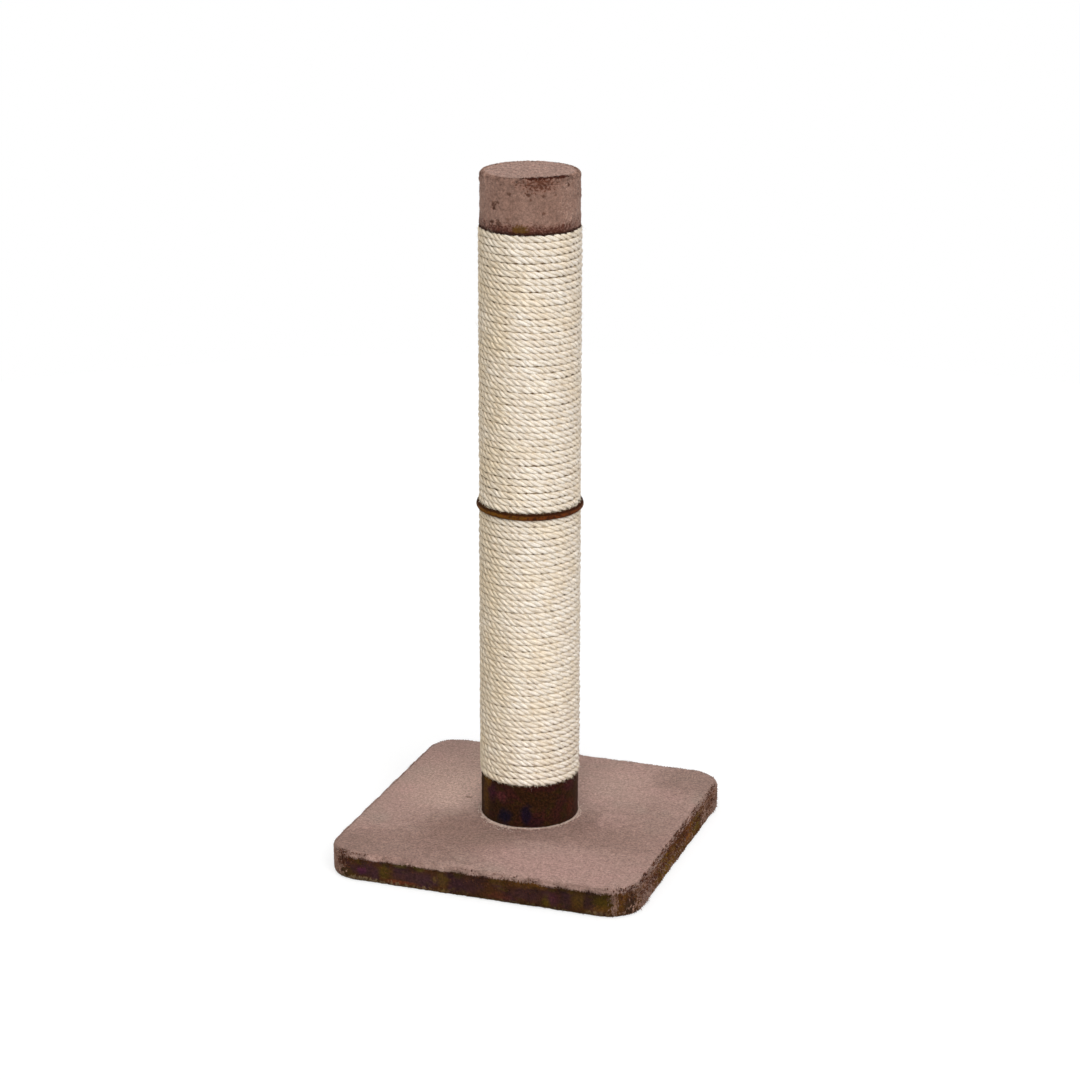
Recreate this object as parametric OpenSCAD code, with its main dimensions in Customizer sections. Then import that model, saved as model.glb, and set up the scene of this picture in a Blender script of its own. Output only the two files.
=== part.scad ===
// Cat scratching post: a square plush-covered base and a rope-wound post in two sections that screw together.
// The origin is at the middle of the base's underside, +Z is up and -Y is the base's front edge.

/* [Base] */
// Width of the base over its plush, the same both ways
base_w = 482.6; // [400:0.1:640]
// Radius of the base's corners, seen from above
base_corner_r = 50; // [30:1:90]
// Thickness of each of the two boards in the base
board_t = 20; // [16:0.5:30]
// Thickness of the plush round the base
base_plush_t = 3.5; // [2:0.1:6]
// How far the top plush turns down over the rim of the base
base_turn_down = 9.5; // [8:0.1:14]
// Radius of the rounded rim of the base
base_rim_r = 7; // [3:0.5:7.5]
// Thickness of the felt, and of the plush turned under the boards
felt_t = 2; // [1.6:0.1:4]
// Width of the plush that is turned under the boards
hem_w = 30; // [20:1:60]
// Radius of the corners of the opening in the turned-under plush
hem_corner_r = 16; // [5:1:40]

/* [Post] */
// Height of the whole scratching post
total_h = 1041.4; // [700:0.1:1400]
// Outer diameter of the cardboard tubes
tube_od = 136; // [120:1:180]
// Wall of the cardboard tubes
tube_wall = 8; // [5:0.5:10]
// Thickness of the wooden plugs at the foot and at the joint
plug_t = 25; // [20:1:40]
// Thickness of the wooden plug at the top
top_plug_t = 18; // [12:1:30]

/* [Rope] */
// How far the rope stands out from the tube
rope_t = 8.2; // [7:0.1:14]
// Turns on each section, each standing for nearly two of the real rope's
rope_loops = 24; // [12:1:24]
// Gap between neighbouring turns
rope_gap = 0.5; // [0.45:0.05:0.8]

/* [Collar, cap and ring] */
// Height of the plush collar at the foot of the post
collar_h = 70; // [40:1:120]
// Thickness of the collar's plush
collar_t = 5.6; // [3:0.1:8]
// Height of the plush cap
cap_h = 80.4; // [40:0.1:120]
// Thickness of the cap's plush
cap_t = 5; // [3:0.1:8]
// How far the cap's top plush turns down over the rim
cap_turn_down = 10; // [8:0.5:16]
// Height of the ring between the two sections
ring_h = 10; // [6:0.5:16]
// How far the ring stands out from the tube
ring_t = 11.5; // [9:0.5:20]

/* [Fasteners] */
// Diameter of the bolts that hold the post on the base
bolt_d = 8; // [6:1:10]
// Diameter of the circle that the bolts stand on
bolt_circle_d = 80; // [60:1:84]
// Number of bolts
bolt_count = 4; // [3:1:4]
// Diameter of the stud that joins the two sections
stud_d = 10; // [8:1:14]
// How far the stud stands past each tee nut
stud_past = 3.4; // [1:0.1:8]
// Diameter of the wood screws that join the boards
screw_d = 4.5; // [3:0.5:6]
// Length of the wood screws that join the boards
screw_l = 35; // [26:1:40]
// Distance of the outer wood screws from the side of the boards
screw_inset = 70; // [60:1:110]
// Diameter of the nails that hold the plugs
nail_d = 2.2; // [1.6:0.2:3]
// Length of the nails that hold the plugs
nail_l = 28; // [20:1:34]
// Number of nails in each plug
nail_count = 6; // [3:1:8]
// Length of a staple's crown
staple_w = 12; // [10.5:0.5:13]
// Length of the legs of the staples in the base
staple_leg = 10; // [6:0.5:14]
// Number of staples along each side of the base
staples_a_side = 6; // [2:1:10]

/* [Hidden] */
$fn = 96;

// Clearances and the overrun of every cut
cut = 1;
fit = 0.05;
seat = 0.3;

// Heights in the base
base_h = felt_t + 2 * board_t + base_plush_t;
upper_board_z = felt_t + board_t;
boards_top_z = felt_t + 2 * board_t;
base_seam_z = base_h - base_turn_down;
board_w = base_w - 2 * base_plush_t;
board_corner_r = base_corner_r - base_plush_t;
hem_opening_w = board_w - 2 * hem_w;

// Heights and radii in the post
tube_r = tube_od / 2;
bore_r = tube_r - tube_wall;
tube_l = (total_h - base_h - cap_t - seat) / 2;
joint_z = base_h + tube_l;
upper_z = joint_z + seat;
tubes_top_z = upper_z + tube_l;
foot_plug_top_z = base_h + plug_t;
lower_head_plug_z = joint_z - plug_t;
upper_foot_plug_top_z = upper_z + plug_t;
upper_head_plug_z = tubes_top_z - top_plug_t;
ring_z = joint_z + seat / 2;
collar_top_z = base_h + collar_h;
cap_bottom_z = total_h - cap_h;
cap_seam_z = total_h - cap_turn_down;
cap_rim_r = cap_turn_down / 2;
plush_edge = 1.2;

// Bolts, washers and tee nuts, as shares of the bolt's or stud's diameter
hex_across_share = 1.85;
hex_h_share = 0.66;
washer_od_share = 2;
washer_t_share = 0.2;
tee_flange_share = 2.4;
tee_flange_t_share = 0.18;
tee_barrel_share = 1.35;
tee_barrel_l_share = 1.6;
bolt_head_h = bolt_d * hex_h_share;
washer_t = bolt_d * washer_t_share;
bolt_sunk = 1;
bolt_past = 1.3;
bolt_access_d = bolt_d * washer_od_share + 2 * felt_t;
bolt_seat_z = felt_t + bolt_sunk + bolt_head_h + washer_t;
foot_tee_flange_t = bolt_d * tee_flange_t_share;
bolt_end_z = foot_plug_top_z + foot_tee_flange_t + bolt_past;
joint_tee_flange_t = stud_d * tee_flange_t_share;
stud_half_l = plug_t + joint_tee_flange_t + stud_past;

// Wood screws: head, countersink and point, as shares of the screw's diameter
screw_head_share = 0.95;
screw_head_h_share = 0.6;
screw_point_share = 1.2;
screw_place = board_w / 2 - screw_inset;

// Nails: head as shares of the nail's diameter, and how far it is driven below the tube's surface
nail_head_share = 2.2;
nail_head_t_share = 0.4;
nail_sunk = 0.3;

// Staples: flat wire, and how deep the crowns sit in the turned-under plush
wire_w = 1.2;
wire_t = 0.6;
staple_sunk = 0.4;
staple_step = hem_opening_w / staples_a_side;

// The rope's winding: rings a turn, rings in which it climbs to the next turn, and its ends behind the post
rope_rings = 15;
climb_rings = 5;
ring_turn = 360 / rope_rings;
rope_last = rope_loops * rope_rings - climb_rings;
lower_rope_start = 169;
upper_rope_start = 49;
rope_inner_r = (tube_r + seat) / cos(ring_turn / 2);
rope_outer_r = tube_r + rope_t;
rope_mid_r = (rope_inner_r + rope_outer_r) / 2;
rope_shoulder_share = 0.32;
rope_end_shares = [0.45, 0.6];
rope_end_drop = 2 * wire_t + seat;
rope_staple_share = 1 / 3;
rope_staple_r = rope_outer_r - rope_end_drop;
rope_staple_leg = rope_staple_r - bore_r;
lower_rope_z = collar_top_z + seat;
lower_rope_h = ring_z - ring_h / 2 - seat - lower_rope_z;
upper_rope_z = ring_z + ring_h / 2 + seat;
upper_rope_h = cap_bottom_z - seat - upper_rope_z;

// The height from one turn of rope to the next, on a winding of height h
function rope_pitch(h) = (h + rope_gap) / rope_loops;

// How many turns up ring k is: each turn lies flat, then climbs at the back to the next
function climb(k) =
    let (turn = floor(k / rope_rings))
    let (part = (k - turn * rope_rings - rope_rings + climb_rings) / climb_rings)
    turn + (turn < rope_loops - 1 && part > 0 ? part * part * (3 - 2 * part) : 0);

// The share of its full height that the rope has at ring k, less at its two stapled ends
function end_share(k) =
    let (from_end = min(k, rope_last - k))
    from_end < len(rope_end_shares) ? rope_end_shares[from_end] : 1;

// The six corners of the rope at ring k, for a winding that starts at height z, turning by way (1 or -1)
function rope_ring(k, z, h, start, way) =
    let (a = start + way * k * ring_turn)
    let (full = (rope_pitch(h) - rope_gap) / 2)
    let (side = full * end_share(k))
    let (flat = side * rope_shoulder_share)
    let (outer = end_share(k) < 1 ? rope_outer_r - rope_end_drop : rope_outer_r)
    let (level = z + full + rope_pitch(h) * climb(k))
    [for (c = [[outer, -flat], [outer, flat], [rope_mid_r, side],
               [rope_inner_r, flat], [rope_inner_r, -flat], [rope_mid_r, -side]])
        [c[0] * cos(a), c[0] * sin(a), level + c[1]]];

// The least distance between the corners of one turn and those of the next, over a whole winding
function least_gap(rings) =
    min([for (k = [0 : len(rings) - rope_rings - 1])
        min([for (p = rings[k], q = rings[k + rope_rings]) norm(p - q)])]);

// A square plate with round corners, standing on z = 0
module rounded_plate(w, r, h) {
    linear_extrude(h) {
        square([w - 2 * r, w], center = true);
        square([w, w - 2 * r], center = true);
        corners(w, r) circle(r);
    }
}

module corners(w, r) {
    for (x = [-1, 1], y = [-1, 1])
        translate([x * (w / 2 - r), y * (w / 2 - r)]) children();
}

// A disc with its top edge rounded, the corner of the base's top plush
module rounded_disc(r, h, edge) {
    rotate_extrude($fn = 32) {
        square([r - edge, h]);
        square([r, h - edge]);
        intersection() {
            translate([r - edge, h - edge]) circle(edge, $fn = 32);
            square([r, h]);
        }
    }
}

// A round sleeve of plush on the tube, with its outer edges broken
module plush_sleeve(t, z0, z1) {
    inner_r = tube_r + fit;
    outer_r = tube_r + t;
    rotate_extrude()
        polygon([[inner_r, z0], [outer_r - plush_edge, z0], [outer_r, z0 + plush_edge],
                 [outer_r, z1 - plush_edge], [outer_r - plush_edge, z1], [inner_r, z1]]);
}

module bolt_places() {
    for (i = [0 : bolt_count - 1])
        rotate(45 + i * 360 / bolt_count) translate([bolt_circle_d / 2, 0]) children();
}

module screw_places() {
    for (x = [-1, 0, 1], y = [-1, 0, 1])
        if (x != 0 || y != 0)
            translate([x * screw_place, y * screw_place]) children();
}

// Turns its children round the base, once for each staple, with the crown along the side
module staple_places() {
    for (side = [0 : 3], i = [0 : staples_a_side - 1])
        rotate(side * 90)
            translate([(i - (staples_a_side - 1) / 2) * staple_step, (hem_opening_w + hem_w) / 2])
                children();
}

// A wood screw that points up, grown by extra for its hole
module wood_screw(extra) {
    shank_r = screw_d / 2 + extra;
    head_r = screw_d * screw_head_share + extra;
    head_h = screw_d * screw_head_h_share;
    rotate_extrude()
        polygon([[0, 0], [head_r, 0], [shank_r, head_h],
                 [shank_r, screw_l - screw_d * screw_point_share], [0, screw_l + extra]]);
}

// A staple with its crown on z = 0 and its legs up, grown by extra for its slot
module staple(leg, extra) {
    crown = staple_w + 2 * extra;
    wide = wire_w + 2 * extra;
    thick = wire_t + 2 * extra;
    translate([-crown / 2, -wide / 2, -extra]) cube([crown, wide, thick]);
    for (x = [-1, 1])
        translate([x * (staple_w - wire_t) / 2 - thick / 2, -wide / 2, -extra])
            cube([thick, wide, leg + extra]);
}

// The nails of a plug at height z, driven in through the tube, grown by extra for their holes
module plug_nails(z, extra) {
    head_t = nail_d * nail_head_t_share;
    for (i = [0 : nail_count - 1])
        rotate(i * 360 / nail_count) translate([tube_r - nail_sunk, 0, z]) rotate([0, -90, 0]) {
            cylinder(h = nail_l + extra, r = nail_d / 2 + extra);
            translate([0, 0, -cut * sign(extra)])
                cylinder(h = head_t + cut * sign(extra), r = nail_d * nail_head_share / 2 + extra);
        }
}

// A tee nut whose flange lies on z = 0 with its barrel down, for a thread of diameter d
module tee_nut(d, barrel_l) {
    difference() {
        union() {
            cylinder(h = d * tee_flange_t_share, r = d * tee_flange_share / 2);
            translate([0, 0, -barrel_l]) cylinder(h = barrel_l, r = d * tee_barrel_share / 2);
        }
        translate([0, 0, -barrel_l - cut])
            cylinder(h = barrel_l + d * tee_flange_t_share + 2 * cut, r = d / 2 + fit);
    }
}

// The hole for a tee nut in a plug: z = 0 is the face that its flange lies on
module tee_nut_hole(d, barrel_l, t) {
    translate([0, 0, -barrel_l - fit]) cylinder(h = barrel_l + cut, r = d * tee_barrel_share / 2 + fit);
    translate([0, 0, -t - cut]) cylinder(h = t + cut, r = d / 2 + seat);
}

// A cardboard tube from height z, with the holes that are its children
module tube(z) {
    difference() {
        translate([0, 0, z]) cylinder(h = tube_l, r = tube_r);
        translate([0, 0, z - cut]) cylinder(h = tube_l + 2 * cut, r = bore_r);
        children();
    }
}

// A wooden plug from height z
module plug(z, t) {
    difference() {
        translate([0, 0, z]) cylinder(h = t, r = bore_r - fit);
        children();
    }
}

// The two staples at the ends of a winding, grown by extra for their holes in the tube
module rope_staples(z, h, start, way, extra) {
    half = (rope_pitch(h) - rope_gap) / 2;
    for (k = [rope_staple_share, rope_last - rope_staple_share])
        rotate(start + way * k * ring_turn)
            translate([rope_staple_r + wire_t, 0, z + half + rope_pitch(h) * climb(floor(k))])
                rotate([0, -90, 0]) staple(rope_staple_leg, extra);
}

// One section's rope as a single unbroken tube of six sides
module rope(name, z, h, start, way) {
    rings = [for (k = [0 : rope_last]) rope_ring(k, z, h, start, way)];
    echo(str(name, " turns ", rope_loops, ", least gap to itself in mm"), least_gap(rings));
    last = 6 * rope_last;
    sides = [for (k = [0 : rope_last - 1], i = [0 : 5])
        let (a = 6 * k + i)
        let (b = 6 * k + (i + 1) % 6)
        each way > 0 ? [[a, b, b + 6], [a, b + 6, a + 6]] : [[b, a, b + 6], [b + 6, a, a + 6]]];
    first_end = [for (i = [1 : 4]) way > 0 ? [0, i + 1, i] : [0, i, i + 1]];
    last_end = [for (i = [1 : 4]) way > 0 ? [last, last + i, last + i + 1] : [last, last + i + 1, last + i]];
    polyhedron([for (r = rings) each r], concat(sides, first_end, last_end));
}

module base_lower_board() {
    color("burlywood") difference() {
        translate([0, 0, felt_t]) rounded_plate(board_w, board_corner_r, board_t);
        bolt_places() {
            translate([0, 0, felt_t - cut])
                cylinder(h = bolt_seat_z - felt_t + cut, r = bolt_access_d / 2);
            cylinder(h = base_h, r = bolt_d / 2 + seat);
        }
        screw_places() translate([0, 0, felt_t]) wood_screw(fit);
        staple_places() translate([0, 0, staple_sunk]) staple(staple_leg, fit);
    }
}

module base_upper_board() {
    color("burlywood") difference() {
        translate([0, 0, upper_board_z]) rounded_plate(board_w, board_corner_r, board_t);
        bolt_places() cylinder(h = base_h + cut, r = bolt_d / 2 + seat);
        screw_places() translate([0, 0, felt_t]) wood_screw(fit);
    }
}

module base_board_screws() {
    color("silver") screw_places() translate([0, 0, felt_t]) wood_screw(0);
}

module base_underside_felt() {
    color("dimgray") difference() {
        rounded_plate(hem_opening_w - 2 * seat, hem_corner_r - seat, felt_t);
        bolt_places() translate([0, 0, -cut]) cylinder(h = felt_t + 2 * cut, r = bolt_access_d / 2);
    }
}

module base_side_plush() {
    color("saddlebrown") difference() {
        rounded_plate(base_w, base_corner_r, base_seam_z);
        translate([0, 0, felt_t]) rounded_plate(board_w, board_corner_r, base_h);
        translate([0, 0, -cut]) rounded_plate(hem_opening_w, hem_corner_r, felt_t + 2 * cut);
        staple_places() {
            translate([0, 0, staple_sunk]) staple(staple_leg, fit);
            translate([-staple_w / 2 - fit, -wire_w / 2 - fit, -cut])
                cube([staple_w + 2 * fit, wire_w + 2 * fit, cut + staple_sunk]);
        }
    }
}

module base_top_plush() {
    color("rosybrown") difference() {
        translate([0, 0, base_seam_z]) hull()
            corners(base_w, base_corner_r) rounded_disc(base_corner_r, base_turn_down, base_rim_r);
        translate([0, 0, base_seam_z - cut])
            rounded_plate(board_w, board_corner_r, boards_top_z - base_seam_z + cut);
        bolt_places() cylinder(h = base_h + cut, r = bolt_d / 2 + seat);
    }
}

module base_cover_staples() {
    color("silver") staple_places() translate([0, 0, staple_sunk]) staple(staple_leg, 0);
}

module base_bolts() {
    head_z = bolt_seat_z - washer_t - bolt_head_h;
    color("silver") bolt_places() {
        translate([0, 0, head_z]) cylinder(h = bolt_head_h, r = bolt_d * hex_across_share / 2, $fn = 6);
        translate([0, 0, head_z]) cylinder(h = bolt_end_z - head_z, r = bolt_d / 2);
    }
}

module base_washers() {
    color("gainsboro") bolt_places() translate([0, 0, bolt_seat_z - washer_t]) difference() {
        cylinder(h = washer_t, r = bolt_d * washer_od_share / 2);
        translate([0, 0, -cut]) cylinder(h = washer_t + 2 * cut, r = bolt_d / 2 + fit);
    }
}

module lower_tube() {
    color("tan") tube(base_h) {
        plug_nails(base_h + plug_t / 2, fit);
        plug_nails(joint_z - plug_t / 2, fit);
        rope_staples(lower_rope_z, lower_rope_h, lower_rope_start, 1, fit);
    }
}

module lower_foot_plug() {
    color("peru") plug(base_h, plug_t) {
        bolt_places() translate([0, 0, foot_plug_top_z])
            tee_nut_hole(bolt_d, bolt_d * tee_barrel_l_share, plug_t);
        plug_nails(base_h + plug_t / 2, fit);
    }
}

module lower_foot_tee_nuts() {
    color("silver") bolt_places() translate([0, 0, foot_plug_top_z])
        tee_nut(bolt_d, bolt_d * tee_barrel_l_share);
}

module lower_foot_plug_nails() {
    color("silver") plug_nails(base_h + plug_t / 2, 0);
}

module lower_head_plug() {
    color("peru") plug(lower_head_plug_z, plug_t) {
        translate([0, 0, lower_head_plug_z]) mirror([0, 0, 1])
            tee_nut_hole(stud_d, stud_d * tee_barrel_l_share, plug_t);
        plug_nails(joint_z - plug_t / 2, fit);
    }
}

module lower_head_tee_nut() {
    color("silver") translate([0, 0, lower_head_plug_z]) mirror([0, 0, 1])
        tee_nut(stud_d, stud_d * tee_barrel_l_share);
}

module lower_head_plug_nails() {
    color("silver") plug_nails(joint_z - plug_t / 2, 0);
}

module lower_collar_plush() {
    color("#2e1a0e") plush_sleeve(collar_t, base_h, collar_top_z);
}

module lower_rope() {
    color("wheat") rope("lower_rope", lower_rope_z, lower_rope_h, lower_rope_start, 1);
}

module lower_rope_staples() {
    color("silver") rope_staples(lower_rope_z, lower_rope_h, lower_rope_start, 1, 0);
}

module joint_stud() {
    point = stud_d * tee_flange_t_share;
    color("silver") translate([0, 0, ring_z - stud_half_l]) rotate_extrude()
        polygon([[0, 0], [stud_d / 2 - point, 0], [stud_d / 2, point],
                 [stud_d / 2, 2 * stud_half_l - point], [stud_d / 2 - point, 2 * stud_half_l],
                 [0, 2 * stud_half_l]]);
}

module joint_ring() {
    round_r = ring_h / 2;
    color("sienna") translate([0, 0, ring_z]) rotate_extrude() {
        translate([tube_r + seat, -round_r]) square([ring_t - seat - round_r, ring_h]);
        translate([tube_r + ring_t - round_r, 0]) circle(round_r);
    }
}

module upper_tube() {
    color("tan") tube(upper_z) {
        plug_nails(upper_z + plug_t / 2, fit);
        plug_nails(tubes_top_z - top_plug_t / 2, fit);
        rope_staples(upper_rope_z, upper_rope_h, upper_rope_start, -1, fit);
    }
}

module upper_foot_plug() {
    color("peru") plug(upper_z, plug_t) {
        translate([0, 0, upper_foot_plug_top_z])
            tee_nut_hole(stud_d, stud_d * tee_barrel_l_share, plug_t);
        plug_nails(upper_z + plug_t / 2, fit);
    }
}

module upper_foot_tee_nut() {
    color("silver") translate([0, 0, upper_foot_plug_top_z])
        tee_nut(stud_d, stud_d * tee_barrel_l_share);
}

module upper_foot_plug_nails() {
    color("silver") plug_nails(upper_z + plug_t / 2, 0);
}

module upper_head_plug() {
    color("peru") plug(upper_head_plug_z, top_plug_t)
        plug_nails(tubes_top_z - top_plug_t / 2, fit);
}

module upper_head_plug_nails() {
    color("silver") plug_nails(tubes_top_z - top_plug_t / 2, 0);
}

module upper_rope() {
    color("wheat") rope("upper_rope", upper_rope_z, upper_rope_h, upper_rope_start, -1);
}

module upper_rope_staples() {
    color("silver") rope_staples(upper_rope_z, upper_rope_h, upper_rope_start, -1, 0);
}

module cap_side_plush() {
    color("rosybrown") plush_sleeve(cap_t, cap_bottom_z, cap_seam_z);
}

module cap_top_plush() {
    outer_r = tube_r + cap_t;
    color("rosybrown") rotate_extrude() difference() {
        union() {
            translate([0, cap_seam_z]) square([outer_r - cap_rim_r, cap_turn_down]);
            translate([0, cap_seam_z]) square([outer_r, cap_turn_down - cap_rim_r]);
            translate([outer_r - cap_rim_r, total_h - cap_rim_r]) circle(cap_rim_r);
        }
        translate([0, cap_seam_z - cut]) square([tube_r + fit, tubes_top_z - cap_seam_z + cut]);
    }
}

base_lower_board();
base_upper_board();
base_board_screws();
base_underside_felt();
base_side_plush();
base_top_plush();
base_cover_staples();
base_bolts();
base_washers();
lower_tube();
lower_foot_plug();
lower_foot_tee_nuts();
lower_foot_plug_nails();
lower_head_plug();
lower_head_tee_nut();
lower_head_plug_nails();
lower_collar_plush();
lower_rope();
lower_rope_staples();
joint_stud();
joint_ring();
upper_tube();
upper_foot_plug();
upper_foot_tee_nut();
upper_foot_plug_nails();
upper_head_plug();
upper_head_plug_nails();
upper_rope();
upper_rope_staples();
cap_side_plush();
cap_top_plush();
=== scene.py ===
# %% [markdown]
# # A cat scratching post
# A square base covered in two colours of plush carries a post that is wound with sisal rope. The post comes
# in two sections that screw together under a brown ring, and it ends in a plush cap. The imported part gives
# every piece its true place, so this lesson only makes the soft pieces and the finishes. Each cloth starts
# flat, at the size that it is cut to, and is then wrapped round what carries it, as in the workshop.

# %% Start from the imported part
import math

import bpy
import numpy as np
from mathutils import Matrix, Vector


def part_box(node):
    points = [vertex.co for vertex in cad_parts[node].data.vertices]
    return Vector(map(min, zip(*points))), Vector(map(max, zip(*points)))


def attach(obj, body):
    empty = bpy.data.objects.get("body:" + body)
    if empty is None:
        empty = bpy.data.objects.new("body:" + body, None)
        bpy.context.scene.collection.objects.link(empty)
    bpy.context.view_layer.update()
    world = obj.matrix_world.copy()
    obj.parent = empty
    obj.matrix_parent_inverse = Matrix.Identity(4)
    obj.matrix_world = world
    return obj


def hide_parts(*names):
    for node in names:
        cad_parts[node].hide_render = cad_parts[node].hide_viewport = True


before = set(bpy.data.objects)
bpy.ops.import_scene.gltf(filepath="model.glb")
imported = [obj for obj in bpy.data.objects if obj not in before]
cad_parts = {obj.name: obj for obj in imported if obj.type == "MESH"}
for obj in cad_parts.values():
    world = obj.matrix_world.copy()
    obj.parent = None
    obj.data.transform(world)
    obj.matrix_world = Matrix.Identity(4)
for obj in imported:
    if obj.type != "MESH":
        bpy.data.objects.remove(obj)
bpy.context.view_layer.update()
MM = 0.001
print("nodes in the part:", len(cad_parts))

# %% [markdown]
# ## The camera
# The picture is taken from a little to the right and from above, with a long lens, so the post hardly
# narrows towards the top. The place and the angles were found by matching the edges of the base and of the
# post. The camera comes first, because the whole lesson is judged through it.

# %% Place the camera
CAMERA_AZIMUTH = math.radians(19.25)
CAMERA_ELEVATION = math.radians(17.987)
CAMERA_ROLL = math.radians(0.096)
CAMERA_DISTANCE = 4442.4 * MM
CAMERA_AIM = Vector((0, 0, 520 * MM))
CAMERA_OFFSET = (14.948 * MM, -35.919 * MM)
CAMERA_LENS = 99.301


def camera_axes():
    """The camera's right, up and back, as unit vectors."""
    back = Vector((math.sin(CAMERA_AZIMUTH) * math.cos(CAMERA_ELEVATION),
                   -math.cos(CAMERA_AZIMUTH) * math.cos(CAMERA_ELEVATION),
                   math.sin(CAMERA_ELEVATION)))
    level = Vector((math.cos(CAMERA_AZIMUTH), math.sin(CAMERA_AZIMUTH), 0))
    upright = back.cross(level)
    right = math.cos(CAMERA_ROLL) * level + math.sin(CAMERA_ROLL) * upright
    return right, back.cross(right), back


right, up, back = camera_axes()
place = CAMERA_AIM + back * CAMERA_DISTANCE + right * CAMERA_OFFSET[0] + up * CAMERA_OFFSET[1]
turned = Matrix((right, up, back)).transposed().to_euler()
bpy.ops.object.camera_add(location=place, rotation=turned)
camera = bpy.context.object
camera.data.lens = CAMERA_LENS
camera.data.clip_end = 100
bpy.context.scene.camera = camera
print("camera at", [round(x, 3) for x in place])

# %% [markdown]
# ## Helpers for nodes
# The world and every material are small trees of nodes. One helper adds a node and links it, and another
# puts a finished material on its pieces.

# %% Helpers for nodes
def add_node(tree, kind, settings=None, out=0, **inputs):
    """Adds a node, sets or links its inputs by name or as i and their number, and gives its output."""
    made = tree.nodes.new("ShaderNode" + kind)
    for key, value in (settings or {}).items():
        setattr(made, key, value)
    for key, value in inputs.items():
        socket = made.inputs[int(key[1:])] if key[0] == "i" and key[1:].isdigit() else made.inputs[key]
        if isinstance(value, bpy.types.NodeSocket):
            tree.links.new(value, socket)
        else:
            socket.default_value = value
    return made.outputs[out]


def dress(finish, *pieces):
    """Puts the finish on those pieces, in place of what they had."""
    for piece in pieces:
        piece.data.materials.clear()
        piece.data.materials.append(finish)


print("node helpers ready")

# %% [markdown]
# ## Floor, backdrop and light
# The object stands on white with hardly a shadow. A broad, soft light comes from above the camera, a wider
# one from overhead, and an even sky fills the rest. They are set so that a colour renders about as it is
# written. The white comes from what the camera sees of the sky and the floor, and never from more light on
# the post.

# %% Sky, floor and lamps
WHITE = (1, 1, 1, 1)
SKY_LIGHT = 0.39
FLOOR_R = 3.0
FLOOR_BOUNCE, FLOOR_SHADE, FLOOR_GLOW = (0.62, 0.62, 0.62, 1), (0.42, 0.42, 0.42, 1), 0.64


def seen_or_not(tree, seen, unseen):
    """One shader for rays from the camera and those that metal sends on, and another for bounced light."""
    path = tree.nodes.new("ShaderNodeLightPath")
    direct = path.outputs["Is Camera Ray"]
    for other in ("Is Glossy Ray", "Is Transmission Ray"):
        direct = add_node(tree, "Math", {"operation": "MAXIMUM"}, i0=direct, i1=path.outputs[other])
    return add_node(tree, "MixShader", i0=direct, i1=unseen, i2=seen)


scene = bpy.context.scene
scene.view_settings.view_transform = "Standard"
world = bpy.data.worlds.new("white_sky")
scene.world = world
world.use_nodes = True
tree = world.node_tree
sky = tree.nodes["Background"]
sky.inputs["Color"].default_value = WHITE
sky.inputs["Strength"].default_value = SKY_LIGHT
backdrop = seen_or_not(tree, add_node(tree, "Background", Color=WHITE, Strength=1.0), sky.outputs[0])
tree.links.new(backdrop, tree.nodes["World Output"].inputs["Surface"])


def floor_finish():
    """A floor that bounces light as pale card does, and that the camera sees as white with a faint shadow."""
    finish = bpy.data.materials.new("floor_card")
    finish.use_nodes = True
    tree = finish.node_tree
    tree.nodes.remove(tree.nodes["Principled BSDF"])
    shade = add_node(tree, "BsdfDiffuse", Color=FLOOR_SHADE)
    seen = add_node(tree, "AddShader", i0=shade, i1=add_node(tree, "Emission", Strength=FLOOR_GLOW))
    surface = seen_or_not(tree, seen, add_node(tree, "BsdfDiffuse", Color=FLOOR_BOUNCE))
    tree.links.new(surface, tree.nodes["Material Output"].inputs["Surface"])
    return finish


def add_sun(name, azimuth, elevation, strength, softness):
    """A broad light from that side of the camera's azimuth, in degrees."""
    a, e = CAMERA_AZIMUTH + math.radians(azimuth), math.radians(elevation)
    towards = Vector((math.sin(a) * math.cos(e), -math.cos(a) * math.cos(e), math.sin(e)))
    turned = towards.to_track_quat("Z", "Y").to_euler()
    bpy.ops.object.light_add(type="SUN", location=towards * 3, rotation=turned)
    lamp = bpy.context.object
    lamp.name = name
    lamp.data.energy = strength * math.pi
    lamp.data.angle = math.radians(softness)


bpy.ops.object.select_all(action="DESELECT")
bpy.ops.mesh.primitive_circle_add(vertices=96, radius=FLOOR_R, fill_type="NGON", location=(0, 0, 0))
floor = bpy.context.object
floor.name = "floor"
dress(floor_finish(), floor)
add_sun("key_light", 12, 36, 0.80, 60)
add_sun("top_light", 0, 88, 0.16, 90)

# %% [markdown]
# ## Sizes
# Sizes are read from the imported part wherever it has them, so that a new part brings its own. Only what the
# part leaves plain is written here: how the cloth bends over the rims, and the real rope, which has more
# turns than the part's plain winding.

# %% Read the sizes of the part
BASE_LOW, BASE_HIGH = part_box("base_top_plush")
BASE_W = BASE_HIGH.x - BASE_LOW.x
BASE_TOP = BASE_HIGH.z
BASE_SEAM = BASE_LOW.z
COLLAR_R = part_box("lower_collar_plush")[1].x
COLLAR_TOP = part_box("lower_collar_plush")[1].z
CAP_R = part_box("cap_side_plush")[1].x
CAP_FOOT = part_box("cap_side_plush")[0].z
CAP_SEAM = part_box("cap_top_plush")[0].z
POST_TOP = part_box("cap_top_plush")[1].z
TUBE_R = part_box("lower_tube")[1].x
ROPE_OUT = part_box("lower_rope")[1].x
RING_LOW, RING_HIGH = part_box("joint_ring")
FELT_LOW, FELT_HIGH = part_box("base_underside_felt")
FELT_W = FELT_HIGH.x - FELT_LOW.x

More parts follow.
